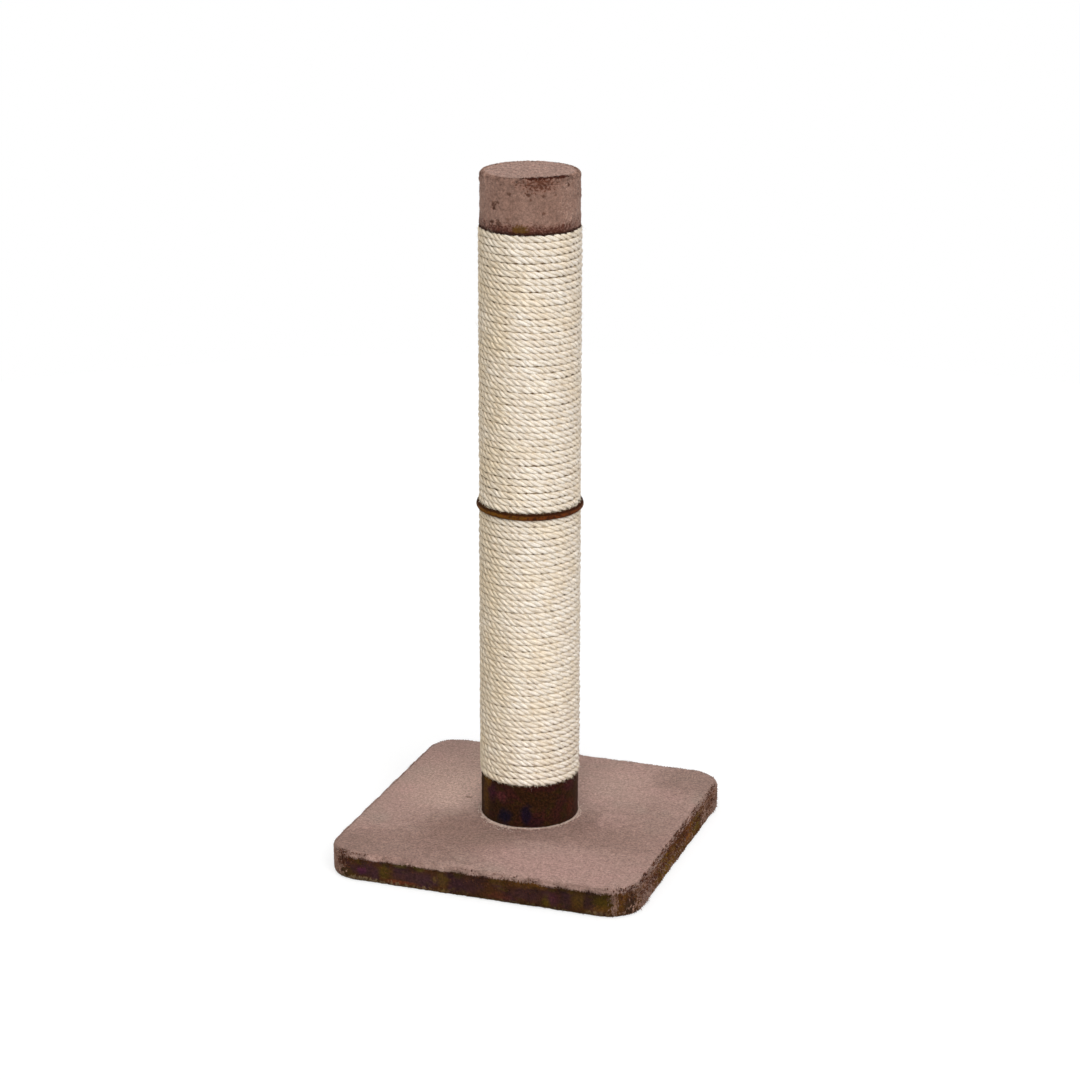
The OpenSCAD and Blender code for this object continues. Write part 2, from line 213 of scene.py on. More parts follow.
CORNER_R = 50 * MM
RIM_R = 7 * MM
FOOT_R = 7 * MM
HEM_IN = 33.5 * MM
CAP_RIM_R = 6 * MM
PLUSH_T = 3.2 * MM
HEM_T = 1.8 * MM
PILE_RISE = 0.8 * MM
FRONT = CAMERA_AZIMUTH - math.pi / 2
LOWER, UPPER = "base_and_lower_section", "upper_section"
print("base", round(BASE_W, 4), "post", round(POST_TOP, 4), "rope radius", round(ROPE_OUT, 4))

# %% [markdown]
# ## Helpers for modelling
# Every operator acts on all that is selected, so each step starts with one object selected and nothing
# else. A finished piece is left at the origin with its place in its mesh, as the part's own nodes are.

# %% Helpers for modelling
def only(piece=None):
    """Leaves edit mode, and selects that piece and nothing else."""
    if bpy.context.object and bpy.context.object.mode != "OBJECT":
        bpy.ops.object.mode_set(mode="OBJECT")
    bpy.ops.object.select_all(action="DESELECT")
    if piece:
        piece.select_set(True)
        bpy.context.view_layer.objects.active = piece


def apply_modifier(piece, kind, **settings):
    """Adds one modifier, sets it up and applies it."""
    only(piece)
    modifier = piece.modifiers.new(kind.lower(), kind)
    for key, value in settings.items():
        setattr(modifier, key, value)
    bpy.ops.object.modifier_apply(modifier=modifier.name)


def edit(piece, *steps):
    """Runs edit-mode operators, each given with its settings, on the whole of the piece."""
    only(piece)
    bpy.ops.object.mode_set(mode="EDIT")
    for operator, settings in steps:
        bpy.ops.mesh.select_all(action="SELECT")
        operator(**settings)
    bpy.ops.object.mode_set(mode="OBJECT")


def roughen(piece, steps, **settings):
    """Raises lumps on the piece, once for each (size, height)."""
    for size, height in steps:
        clouds = bpy.data.textures.new("lumps", "CLOUDS")
        clouds.noise_scale = size
        apply_modifier(piece, "DISPLACE", texture=clouds, texture_coords="LOCAL", strength=height, **settings)


def places_of(piece, what="co"):
    """The places of all the piece's vertices, or what else they have in three numbers."""
    places = np.empty(len(piece.data.vertices) * 3)
    piece.data.vertices.foreach_get(what, places)
    return places.reshape(-1, 3)


def corners_of(mesh):
    """The vertex at each corner of each face."""
    corners = np.empty(len(mesh.loops), dtype=np.int32)
    mesh.loops.foreach_get("vertex_index", corners)
    return corners


def give_uvs(layer, uvs):
    """Writes the flat coordinates of every corner."""
    layer.data.foreach_set("uv", uvs.astype(np.float32).ravel())


def move_to(piece, places):
    """Puts every vertex of the piece at its new place."""
    piece.data.vertices.foreach_set("co", np.ascontiguousarray(places, dtype=np.float32).ravel())
    piece.data.update()


def smooth_and_name(piece, name):
    """Shades the piece smooth and gives it its name."""
    only(piece)
    bpy.ops.object.shade_smooth()
    piece.name = piece.data.name = name
    return piece


print("helpers ready")

# %% [markdown]
# ## Cloth, cut flat and wrapped
# Plush is a woven backing with a short, dense pile. A grid has one vertex for every few millimetres of
# cloth, and its flat coordinates stay on it as its UV map, in metres, so a pattern keeps its size however
# the cloth bends. The grid is moved into its place, sewn where its ends meet, given its thickness, and
# roughened on its face, where tufts of pile lean together.

# %% Helpers for cloth
def cut_cloth(name, width, length, cell):
    """A flat rectangle of cloth round the origin, in cells of about that size, with flat places as UVs."""
    only()
    bpy.ops.mesh.primitive_grid_add(x_subdivisions=max(2, round(width / cell)),
                                    y_subdivisions=max(2, round(length / cell)), size=1)
    cloth = bpy.context.object
    cloth.name = name
    cloth.scale = (width, length, 1)
    bpy.ops.object.transform_apply(location=False, rotation=False, scale=True)
    give_uvs(cloth.data.uv_layers.active, places_of(cloth)[corners_of(cloth.data), :2])
    return cloth


def wrap(cloth, shape):
    """Moves each point (x, y) of the flat cloth to shape(x, y)."""
    flat = places_of(cloth)
    move_to(cloth, np.stack(shape(flat[:, 0], flat[:, 1]), axis=1))


def sew(cloth):
    """Joins the edges that lie on each other."""
    edit(cloth, (bpy.ops.mesh.remove_doubles, {"threshold": 1e-5}))


def thicken_and_roughen(cloth, thickness, grain, lumps):
    """Gives the cloth its thickness behind its face, and raises grains and lumps of pile on that face."""
    face = list(range(len(cloth.data.vertices)))
    apply_modifier(cloth, "SOLIDIFY", thickness=thickness, offset=-1.0)
    cloth.vertex_groups.new(name="face").add(face, 1.0, "REPLACE")
    roughen(cloth, ((grain, PILE_RISE), (grain * 2.2, lumps), (grain * 5, lumps)), vertex_group="face")
    cloth.vertex_groups.clear()


def square_reach(x, y):
    """How far out a point of a square cloth lies, measured square."""
    return np.maximum(np.maximum(np.abs(x), np.abs(y)), 1e-9)


def round_corners(x, y, reach, out, corner):
    """Moves a point from its square ring out to another, whose corners have that radius."""
    across = np.abs(x) >= np.abs(y)
    along = np.where(across, y, x) / reach * out
    turn = np.maximum(np.abs(along) - (out - corner), 0) / corner * math.pi / 4
    big = np.where(across, np.sign(x), np.sign(y)) * (out - corner + corner * np.cos(turn))
    small = np.sign(along) * (np.minimum(np.abs(along), out - corner) + corner * np.sin(turn))
    return np.where(across, big, small), np.where(across, small, big)


def over_a_rim(reach, half, rim):
    """For a cloth that runs flat and bends over a rim: how far out and how far down a point lies."""
    flat = half - rim
    bend = np.clip((reach - flat) / rim, 0, math.pi / 2)
    out = np.minimum(reach, flat) + rim * np.sin(bend)
    down = rim * (1 - np.cos(bend)) + np.maximum(reach - flat - rim * math.pi / 2, 0)
    return out, down


def say_cut(cloth, *sides):
    """Prints how fine the cloth is and how large it was cut."""
    cut = " by ".join(str(round(side, 4)) for side in sides)
    print(cloth.name + ":", len(cloth.data.polygons), "faces, cut", cut, "m")


print("cloth helpers ready")

# %% [markdown]
# ## Top of the base
# One square of taupe plush is pulled over the boards and turned down over their rim. Its corners would
# bunch, so on the real one they are cut and eased round; here the square's rings turn into rounded squares
# as they near the rim.

# %% Base top plush
def over_the_base(x, y):
    """Where a point of the flat square lies on the base."""
    reach = square_reach(x, y)
    out, down = over_a_rim(reach, BASE_W / 2, RIM_R)
    flat = BASE_W / 2 - RIM_R
    corner = np.where(out < flat, (CORNER_R - RIM_R) * out / flat, CORNER_R - BASE_W / 2 + out)
    return *round_corners(x, y, reach, out, corner), BASE_TOP - down


turned_down = RIM_R * (math.pi / 2 - 1) + BASE_TOP - BASE_SEAM - RIM_R
TOP_CUT = BASE_W + 2 * turned_down
base_top = cut_cloth("base_top", TOP_CUT, TOP_CUT, 2.7 * MM)
wrap(base_top, over_the_base)
thicken_and_roughen(base_top, PLUSH_T, 3.5 * MM, 1.8 * MM)
smooth_and_name(base_top, "base_top_cloth")
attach(base_top, "base_and_lower_section")
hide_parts("base_top_plush")
say_cut(base_top, TOP_CUT, TOP_CUT)

# %% [markdown]
# ## Side of the base
# A long strip of dark plush runs round the base. Its upper edge meets the taupe plush, and its lower edge
# is turned under the boards and stapled. One end of the strip meets the other behind the post.

# %% Base side plush
def round_the_base(along, inset):
    """The point that far along the base's outline, from the middle of the front, and that far in."""
    straight = BASE_W - 2 * CORNER_R
    side = straight + CORNER_R * math.pi / 2
    start = along + straight / 2
    quarter = np.floor(start / side)
    part = start - quarter * side
    turn = np.maximum(part - straight, 0) / CORNER_R
    x = np.minimum(part, straight) - straight / 2 + (CORNER_R - inset) * np.sin(turn)
    y = -straight / 2 - (CORNER_R - inset) * np.cos(turn)
    q = quarter * math.pi / 2
    return x * np.cos(q) - y * np.sin(q), x * np.sin(q) + y * np.cos(q)


HEM_L = HEM_IN - FOOT_R
STRIP_L = 4 * (BASE_W - 2 * CORNER_R) + 2 * math.pi * CORNER_R
STRIP_W = HEM_L + FOOT_R * math.pi / 2 + BASE_SEAM - FOOT_R


def beside_the_base(x, y):
    """Where a point of the flat strip lies: along the hem, round the foot and up the side."""
    length = y + STRIP_W / 2
    bend = np.clip((length - HEM_L) / FOOT_R, 0, math.pi / 2)
    inset = np.maximum(HEM_IN - length, FOOT_R) - FOOT_R * np.sin(bend)
    height = FOOT_R * (1 - np.cos(bend)) + np.maximum(length - HEM_L - FOOT_R * math.pi / 2, 0)
    return *round_the_base(x, inset), height


base_side = cut_cloth("base_side", STRIP_L, STRIP_W, 2.6 * MM)
wrap(base_side, beside_the_base)
sew(base_side)
thicken_and_roughen(base_side, HEM_T, 3.5 * MM, 1.8 * MM)
places = places_of(base_side)
places[:, 2] = np.maximum(places[:, 2], 0.15 * MM)
move_to(base_side, places)
smooth_and_name(base_side, "base_side_cloth")
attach(base_side, "base_and_lower_section")
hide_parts("base_side_plush")
say_cut(base_side, STRIP_L, STRIP_W)

# %% [markdown]
# ## Felt under the base
# A square of grey felt covers the boards inside the hem, with a hole at each bolt. The holes are cut as on
# the bench, by taking four plugs out of the sheet.

# %% Underside felt
FELT_CORNER_R = 15.7 * MM
BOLT_CIRCLE_R = 40 * MM
BOLT_HOLE_R = 10 * MM


def onto_the_board(x, y):
    """Eases the flat square's corners to the felt's own."""
    reach = square_reach(x, y)
    corner = FELT_CORNER_R * reach / (FELT_W / 2)
    return *round_corners(x, y, reach, reach, corner), np.full_like(x, FELT_HIGH.z)


felt = cut_cloth("felt", FELT_W, FELT_W, 6 * MM)
wrap(felt, onto_the_board)
apply_modifier(felt, "SOLIDIFY", thickness=FELT_HIGH.z - 0.2 * MM, offset=-1.0)
for i in range(4):
    turn = math.radians(45 + 90 * i)
    hole = (BOLT_CIRCLE_R * math.cos(turn), BOLT_CIRCLE_R * math.sin(turn), 0)
    only()
    bpy.ops.mesh.primitive_cylinder_add(vertices=40, radius=BOLT_HOLE_R, depth=20 * MM, location=hole)
    punch = bpy.context.object
    apply_modifier(felt, "BOOLEAN", object=punch, operation="DIFFERENCE", solver="EXACT")
    bpy.data.objects.remove(punch)
smooth_and_name(felt, "base_felt_sheet")
bpy.ops.object.shade_smooth_by_angle(angle=math.radians(40))
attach(felt, "base_and_lower_section")
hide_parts("base_underside_felt")
say_cut(felt, FELT_W, FELT_W)

# %% [markdown]
# ## Collar and cap
# The collar at the foot and the side of the cap are straight strips of plush, glued round the tube. The top
# of the cap is a round of plush that is turned down over the rim. A square grid that is eased into a disc
# has no pole in its middle, so its pile is even all over.

# %% Collar and cap plush
EDGE_R = 1.8 * MM
LIP_FROM, LIP_TO, LIP_IN = -14, 62, 4
LIP_RISE = 2.4 * MM


def round_the_post(radius, low, high, roll_top):
    """The shape of a sleeve of that radius between two heights, with its lower edge rolled in, or both."""
    def shape(x, y):
        height = y + (low + high) / 2
        from_edge = np.minimum(height - low, high - height) if roll_top else height - low
        from_edge = np.clip(from_edge / EDGE_R, 0, 1)
        r = radius - EDGE_R * (1 - np.sqrt(1 - (1 - from_edge) ** 2))
        angle = FRONT + x / radius
        return r * np.cos(angle), r * np.sin(angle), height
    return shape


def over_the_cap(x, y):
    """Where a point of the flat round lies on the cap."""
    reach = square_reach(x, y)
    out, down = over_a_rim(reach, CAP_R, CAP_RIM_R)
    across = np.abs(x) >= np.abs(y)
    eighth = np.where(across, y, x) / reach * math.pi / 4
    angle = np.where(across, np.where(x > 0, eighth, math.pi - eighth),
                     np.where(y > 0, math.pi / 2 - eighth, eighth - math.pi / 2))
    return out * np.cos(angle), out * np.sin(angle), POST_TOP - down


def make_sleeve(name, node, body, radius, low, high, roll_top, lumps):
    """A strip of plush round the post, in place of its plain solid."""
    around = 2 * math.pi * radius
    sleeve = cut_cloth(name, around, high - low, 2 * MM)
    wrap(sleeve, round_the_post(radius, low, high, roll_top))
    sew(sleeve)
    thicken_and_roughen(sleeve, PLUSH_T, 3 * MM, lumps)
    smooth_and_name(sleeve, name)
    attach(sleeve, body)
    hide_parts(node)
    say_cut(sleeve, around, high - low)
    return sleeve


collar = make_sleeve("collar_cloth", "lower_collar_plush", LOWER, COLLAR_R, BASE_TOP,
                     COLLAR_TOP, True, 1.2 * MM)
cap_side = make_sleeve("cap_side_cloth", "cap_side_plush", UPPER, CAP_R, CAP_FOOT,
                       CAP_SEAM + 1.2 * MM, False, 3.2 * MM)


def half_turned(angle):
    """The same angle, between half a turn back and half a turn on."""
    return (angle + math.pi) % (2 * math.pi) - math.pi


def lift_lip(piece):
    """Lifts the rim to the right of the front, where the two cloths of the cap pull on their seam."""
    places = places_of(piece)
    arc = half_turned(np.arctan2(places[:, 1], places[:, 0]) - FRONT) * CAP_R / MM
    inward = (CAP_R - np.hypot(places[:, 0], places[:, 1])) / MM
    there = np.exp(-((inward - LIP_IN) / LIP_IN) ** 2)
    there = there / (1 + np.exp(-(arc - LIP_FROM) / 5)) / (1 + np.exp((arc - LIP_TO) / 5))
    places[:, 2] += LIP_RISE * there * (1 + 0.15 * np.sin(arc * 0.5))
    move_to(piece, places)


CAP_CUT = 2 * (CAP_R + CAP_RIM_R * (math.pi / 2 - 2) + POST_TOP - CAP_SEAM)
cap_top = cut_cloth("cap_top", CAP_CUT, CAP_CUT, 1.6 * MM)
wrap(cap_top, over_the_cap)
thicken_and_roughen(cap_top, PLUSH_T, 3 * MM, 3.2 * MM)
lift_lip(cap_top)
smooth_and_name(cap_top, "cap_top_cloth")
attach(cap_top, "upper_section")
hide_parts("cap_top_plush")
say_cut(cap_top, CAP_CUT, CAP_CUT)

# %% [markdown]
# ## Sisal rope
# Three strands laid to the right make the rope. Its section has three lobes, and the Screw modifier turns
# that section once in each lay of the strands while it pulls it along. The straight rope is then wound on
# the tube by moving its vertices: along the rope becomes round the post. The turns lie flat at both ends of
# a section, climb behind the post there, and settle into an even slope between them.

# %% Lay the rope and wind it on
STRANDS = 3
STRAND_POINTS = 6
STRAND_OFF, STRAND_R = 0.536, 0.464
STRAND_GROOVE = 0.60
LAY_STEPS = 16
BUMPS_A_TURN = 37
ROPE_TURNS = 41
ROPE_END = ROPE_TURNS - 1 / 3
ROPE_SETTLE = 8
ROPE_HALF_H = 6.2 * MM
ROPE_HALF_T = (ROPE_OUT - TUBE_R) / 2
ROPE_MID_R = (ROPE_OUT + TUBE_R) / 2
TURN_L = 2 * math.pi * ROPE_MID_R
ROPE_BULGE = 0.52
STAPLE_SUNK = 0.7 * MM
STAPLE_HALF_W, STAPLE_HALF_H = 1.5 * MM, 7 * MM
PRESS_SLOPE = 0.8


def lay_rope(name, lays, lay, hand):
    """A straight rope along +X, that many lays long, with UVs along it and across its strands."""
    only()
    bpy.ops.mesh.primitive_circle_add(vertices=STRANDS * STRAND_POINTS, radius=1,
                                      rotation=(0, math.pi / 2, 0))
    rope = bpy.context.object
    rope.name = name
    bpy.ops.object.transform_apply(location=False, rotation=True, scale=False)
    section = places_of(rope)
    angle = np.arctan2(section[:, 2], section[:, 1])
    from_crest = (angle + math.pi / STRANDS) % (2 * math.pi / STRANDS) - math.pi / STRANDS
    off_crest = STRAND_OFF * np.sin(from_crest)
    lobe = STRAND_OFF * np.cos(from_crest) + np.sqrt(np.maximum(STRAND_R ** 2 - off_crest ** 2, 0))
    lobe = np.maximum(lobe, STRAND_GROOVE)
    move_to(rope, np.stack([0 * lobe, lobe * np.cos(angle), lobe * np.sin(angle)], axis=1) * ROPE_HALF_H)
    apply_modifier(rope, "SCREW", axis="X", angle=hand * 2 * math.pi, screw_offset=lay, iterations=lays,
                   steps=LAY_STEPS, render_steps=LAY_STEPS)
    straight = places_of(rope)
    corners = corners_of(rope.data)
    across = np.arctan2(straight[:, 2], straight[:, 1]) / (2 * math.pi) - hand * straight[:, 0] / lay
    across = (across % 1)[corners].reshape(-1, 4)
    across += (across < across.max(axis=1, keepdims=True) - 0.5)
    across = across.ravel() * 2 * math.pi * ROPE_HALF_H
    give_uvs(rope.data.uv_layers.new(name="strand"), np.stack([straight[corners, 0], across], axis=1))
    return rope


def climb_of(turn):
    """How many turns up the rope is, after that many turns round the post."""
    part = np.clip((turn - np.floor(turn) - 2 / 3) * 3, 0, 1)
    stepped = np.minimum(np.floor(turn) + part * part * (3 - 2 * part), ROPE_TURNS - 1)
    sloped = turn * (ROPE_TURNS - 1) / ROPE_END
    from_end = np.clip((np.minimum(turn, ROPE_END - turn) - 1) / ROPE_SETTLE, 0, 1)
    flat = 1 - from_end * from_end * (3 - 2 * from_end)
    return stepped * flat + sloped * (1 - flat)


def waves(turn, level, *rows):
    """A level with waves along the rope added to it, each given as (height, speed, start)."""
    return sum((height * np.sin(turn * speed + start) for height, speed, start in rows), level)


def wind(rope, offset, start, way, low, pitch):
    """Winds the straight rope on the post, from that far along it."""
    along, y, z = places_of(rope).T
    turn = (along + offset) / TURN_L
    angle = start + way * 2 * math.pi * turn
    seed = low * 90
    twist = waves(turn, 0, (0.30, 0.83, seed), (0.22, 2.17, 2 * seed), (0.10, 13.7, 0), (0.13, 59, 1.3),
                  (0.11, 83, seed)) * 2 * math.pi / STRANDS
    thick = waves(turn, 1, (0.035, 5.3, seed), (0.05, 47.0, 0), (0.05, 101.0, 1), (0.04, 157.0, seed))
    uneven = waves(turn, 0, (0.18, 2.9, seed), (0.2, 11.3, 1.7), (0.25, 29.7, seed))
    out = (y * np.cos(twist) - z * np.sin(twist)) * thick
    rise = (y * np.sin(twist) + z * np.cos(twist)) * thick
    rise = np.clip(rise, -ROPE_BULGE * pitch, ROPE_BULGE * pitch)
    height = low + pitch / 2 + pitch * climb_of(turn) + rise + uneven * MM
    radius = np.maximum(ROPE_MID_R + out * ROPE_HALF_T / ROPE_HALF_H, TUBE_R + 0.1 * MM)
    move_to(rope, np.stack([radius * np.cos(angle), radius * np.sin(angle), height], axis=1))


def press_under_staples(rope, node):
    """Presses the rope in where the staples of that node hold it."""
    places = places_of(rope)
    staples = places_of(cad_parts[node])
    radius = np.hypot(places[:, 0], places[:, 1])
    crown = np.hypot(staples[:, 0], staples[:, 1]).max() - STAPLE_SUNK
    for end in (staples[:, 2] < staples[:, 2].mean(), staples[:, 2] >= staples[:, 2].mean()):
        x, y, z = staples[end].mean(axis=0)
        turned = np.arctan2(places[:, 1], places[:, 0]) - math.atan2(y, x)
        aside = np.abs(half_turned(turned)) * ROPE_MID_R
        above = np.abs(places[:, 2] - z)
        away = np.maximum(np.maximum(aside - STAPLE_HALF_W, above - STAPLE_HALF_H), 0)
        radius = np.minimum(radius, crown + away * PRESS_SLOPE)
    places[:, :2] *= (radius / np.hypot(places[:, 0], places[:, 1]))[:, None]
    move_to(rope, places)


def make_winding(section, node, staples, body, start_degrees, way):
    """Both halves of one section's rope, as two pieces that meet end to end."""
    low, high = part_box(node)
    pitch = (high.z - low.z) / ROPE_TURNS
    length = ROPE_END * TURN_L
    lays = round(ROPE_END * BUMPS_A_TURN / STRANDS / 2)
    halves = []
    for half in (0, 1):
        rope = lay_rope(section, lays, length / 2 / lays, -way)
        wind(rope, half * length / 2, math.radians(start_degrees), way, low.z, pitch)
        press_under_staples(rope, staples)
        roughen(rope, ((4 * MM, 1.5 * MM),), mid_level=0.42)
        edit(rope, (bpy.ops.mesh.fill_holes, {"sides": 0}),
             (bpy.ops.mesh.normals_make_consistent, {"inside": False}))
        smooth_and_name(rope, section + ("_first_half", "_second_half")[half])
        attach(rope, body)
        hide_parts(node)
        halves.append(rope)
    print(section + ":", ROPE_TURNS, "turns at", round(pitch / MM, 2), "mm, rope", round(length, 2), "m long")
    return halves


lower_rope = make_winding("lower_rope_winding", "lower_rope", "lower_rope_staples", LOWER, 169, 1)
upper_rope = make_winding("upper_rope_winding", "upper_rope", "upper_rope_staples", UPPER, 49, -1)

# %% [markdown]
# ## The ring
# A soft brown cord hides the joint. It is a torus, drawn out sideways until it fills the step between the
# tube and the rope, and roughened as the plush is.

# %% Ring
ring_mid_r = (RING_HIGH.x + TUBE_R) / 2 + 0.3 * MM
ring_half_w = (RING_HIGH.x - TUBE_R) / 2 + 0.2 * MM
ring_half_h = (RING_HIGH.z - RING_LOW.z) / 2 + 0.1 * MM
RING_MID_Z = (RING_LOW.z + RING_HIGH.z) / 2
only()
bpy.ops.mesh.primitive_torus_add(major_radius=ring_mid_r, minor_radius=ring_half_h, major_segments=300,
                                 minor_segments=24, location=(0, 0, RING_MID_Z))
ring = bpy.context.object
bpy.ops.object.transform_apply(location=True, rotation=False, scale=False)
places = places_of(ring)
radius = np.hypot(places[:, 0], places[:, 1])
places[:, :2] *= ((ring_mid_r + (radius - ring_mid_r) * ring_half_w / ring_half_h) / radius)[:, None]
move_to(ring, places)
roughen(ring, ((2.5 * MM, 0.6 * MM), (18 * MM, 0.5 * MM)))
smooth_and_name(ring, "joint_ring_cord")
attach(ring, "ring")
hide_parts("joint_ring")
print("ring:", len(ring.data.polygons), "faces")

# %% [markdown]
# ## Tufts and stray fibres
# What makes plush and sisal look real is their outline. One small blade is modelled from a cone, and copied
# onto chosen places of each cloth: dark tufts that reach up over the taupe plush, taupe ones that fall over
# the dark side at a corner, short ones round every rim, and thin pale fibres along the rope. Each copy gets
# its own length, lean, curl and tint.

# %% Model one blade and the way to plant it
only()
bpy.ops.mesh.primitive_cone_add(vertices=3, radius1=0.5, radius2=0, depth=1, location=(0, 0, 0.5))
blade = bpy.context.object
bpy.ops.object.transform_apply(location=True, rotation=False, scale=False)
edit(blade, (bpy.ops.mesh.bisect, {"plane_co": (0, 0, 0.5), "plane_no": (0, 0, 1)}))
blade_places = places_of(blade)
blade_places[:, :2] *= np.where(blade_places[:, 2:] > 0.4, 1.5, 1.0)
blade_faces = [list(p.vertices) for p in blade.data.polygons]
bpy.data.objects.remove(blade)
print("blade:", len(blade_places), "points,", len(blade_faces), "faces")

UPRIGHT = np.array([0, 0, 1.0])
tufts = {}


def unit(v):
    """Those vectors at length one."""
    return v / np.maximum(np.linalg.norm(v, axis=1, keepdims=True), 1e-12)


def sizes(dice, least_and_most, n):
    """Sizes between those two, which are given in millimetres."""
    least, most = least_and_most
    return dice.uniform(least * MM, most * MM, n)


def plant(name, roots, ways, curls, lengths, widths, dice, flat=None):
    """One mesh with a blade at every root, along its way, with its tip drawn aside by its curl. Where flat
    places on the cloth are given, each blade keeps its own as its UVs, and takes the cloth's colour there."""
    n = len(roots)
    aside = unit(np.cross(ways, dice.normal(size=(n, 3))))
    other = np.cross(ways, aside)
    x, y, z = blade_places.T
    at = roots[:, None]
    for ways_on, sizes_on in ((ways, lengths[:, None] * z), (aside, widths[:, None] * x),
                              (other, widths[:, None] * y), (curls, lengths[:, None] * z * z)):
        at = at + ways_on[:, None] * sizes_on[..., None]
    at[..., 2] = np.maximum(at[..., 2], 0.1 * MM)
    faces = [[v + i * len(z) for v in face] for i in range(n) for face in blade_faces]
    mesh = bpy.data.meshes.new(name)
    mesh.from_pydata(at.reshape(-1, 3).tolist(), [], faces)
    tint = mesh.attributes.new("tint", "FLOAT", "POINT")
    tint.data.foreach_set("value", np.repeat(dice.uniform(0, 1, n), len(z)).astype(np.float32))
    if flat is not None:
        give_uvs(mesh.uv_layers.new(name="UVMap"), flat[corners_of(mesh) // len(z)])
    piece = bpy.data.objects.new(name, mesh)
    bpy.context.scene.collection.objects.link(piece)
    smooth_and_name(piece, name)
    print(name + ":", n, "tufts")
    return piece


def settle(piece, body):
    """Lets the tufts ride with their body and keeps them by name."""
    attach(piece, body)
    tufts[piece.name] = piece


# %% [markdown]
# Along the seam of the base, the tufts follow the outline of the base, so their places are worked out from
# how far along it they stand. The front right corner is where the two colours run into each other most.
# Where some stand closer than elsewhere, the rows below give how close, where along the outline and how
# wide.

# %% Tufts round the base
CORNER_STEP = STRIP_L / 4
FRONT_LEFT, FRONT_RIGHT = -CORNER_STEP / 2, CORNER_STEP / 2


def near(along, place, spread):
    """How near a place along the outline is, from 0 to 1."""
    away = np.abs((along - place + STRIP_L / 2) % STRIP_L - STRIP_L / 2)
    return np.exp(-(away / spread) ** 2)


def out_of_the_base(along):
    """The way out of the base at places along its outline, level."""
    a, b = round_the_base(along, 0 * along), round_the_base(along, 0 * along + 1 * MM)
    return unit(np.stack([a[0] - b[0], a[1] - b[1], 0 * along], axis=1))


def round_in(past, radius):
    """How far in a rounded rim is, that far past where its rounding starts."""
    return radius - np.sqrt(np.maximum(radius ** 2 - past ** 2, 0))


def base_tufts(name, count, low, high, climb, length, width, seed, thickets=(), less=0.0):
    """Tufts on the base's side between two heights, which climb (or fall) along it."""
    dice = np.random.default_rng(seed)
    along = dice.uniform(-STRIP_L / 2, STRIP_L / 2, count)
    if thickets:
        odds = sum(share * near(along, place * MM, spread * MM) for share, place, spread in thickets) - less
        along = along[dice.uniform(0, 1, count) < np.clip(odds, 0, 1)]
    n = len(along)
    z = dice.uniform(low, high, n)
    inset = np.where(z > BASE_TOP - RIM_R, round_in(z - BASE_TOP + RIM_R, RIM_R), 0)
    inset = np.where(z < FOOT_R, round_in(FOOT_R - z, FOOT_R), inset)
    x, y = round_the_base(along, inset + 0.2 * MM)
    out = out_of_the_base(along)
    ways = unit(out * dice.uniform(0.25, 0.8, (n, 1)) + UPRIGHT * climb + dice.normal(0, 0.25, (n, 3)))
    curls = -out * dice.uniform(0.0, 0.15, (n, 1)) + UPRIGHT * (climb * 0.1)
    wave = 0.8 + 0.35 * np.sin(along * 47) * np.sin(along * 113 + 1)
    longer = near(along, FRONT_RIGHT + 60 * MM, 90 * MM)
    shorter = near(along, FRONT_LEFT + 100 * MM, 140 * MM)
    wave += 0.35 * longer - 0.4 * shorter
    flat = np.stack([along, z - BASE_SEAM + STRIP_W / 2], axis=1)
    return plant(name, np.stack([x, y, z], axis=1), ways, curls, sizes(dice, length, n) * wave,
                 sizes(dice, width, n), dice, flat)


AT_CORNERS = [
    (0.5, 214, 5), (0.6, 290, 26), (0.16, 420, 150), (0.3, 596, 18), (0.9, 660, 26), (0.8, -238, 14)]
STREAKS = [
    (0.6, -210, 10), (0.2, -165, 24), (0.4, 228, 12), (0.2, 285, 28), (0.3, 450, 130), (0.25, 620, 25),
    (0.08, 40, 80)]
BASE_TUFTS = [
    ("dark_plush", "base_seam_tufts", 13000, BASE_SEAM - 6 * MM, BASE_SEAM + 1.5 * MM, 0.9, (2.5, 6),
     (0.8, 1.6), 11),
    ("dark_plush", "base_foot_tufts", 7000, 2 * MM, 8 * MM, -0.15, (1.5, 3), (0.7, 1.4), 12),
    ("taupe_plush", "base_rim_tufts", 12000, BASE_SEAM + 3 * MM, BASE_TOP - 0.3 * MM, 0.35, (1.5, 3.2),
     (0.7, 1.3), 13),
    ("taupe_plush", "base_corner_tufts", 24000, 6 * MM, BASE_SEAM + 4 * MM, -0.7, (3, 6.5), (0.8, 1.5), 14,
     AT_CORNERS, 0.02),
    ("dark_plush", "base_side_fuzz", 15000, 3 * MM, BASE_SEAM - 2 * MM, 0.2, (1.5, 3.2), (0.8, 1.4), 15),
    ("dark_plush", "base_corner_streaks", 30000, 20 * MM, BASE_TOP - 0.5 * MM, 0.6, (3, 6.5), (1.1, 2.2), 16,
     STREAKS)]
for slot, *row in BASE_TUFTS:
    settle(base_tufts(*row), LOWER)

# %% [markdown]
# On the post, the tufts are placed by their angle and height: the pale pile that stands up against the foot
# of the collar, the short fuzz of the collar, cap and ring, and the stray fibres of the rope, whose roots
# are points of the wound rope itself.

# %% Tufts on the post and fibres on the rope
def out_at(angle):
    """The way out of the post at those angles, level."""
    return np.stack([np.cos(angle), np.sin(angle), 0 * angle], axis=1)


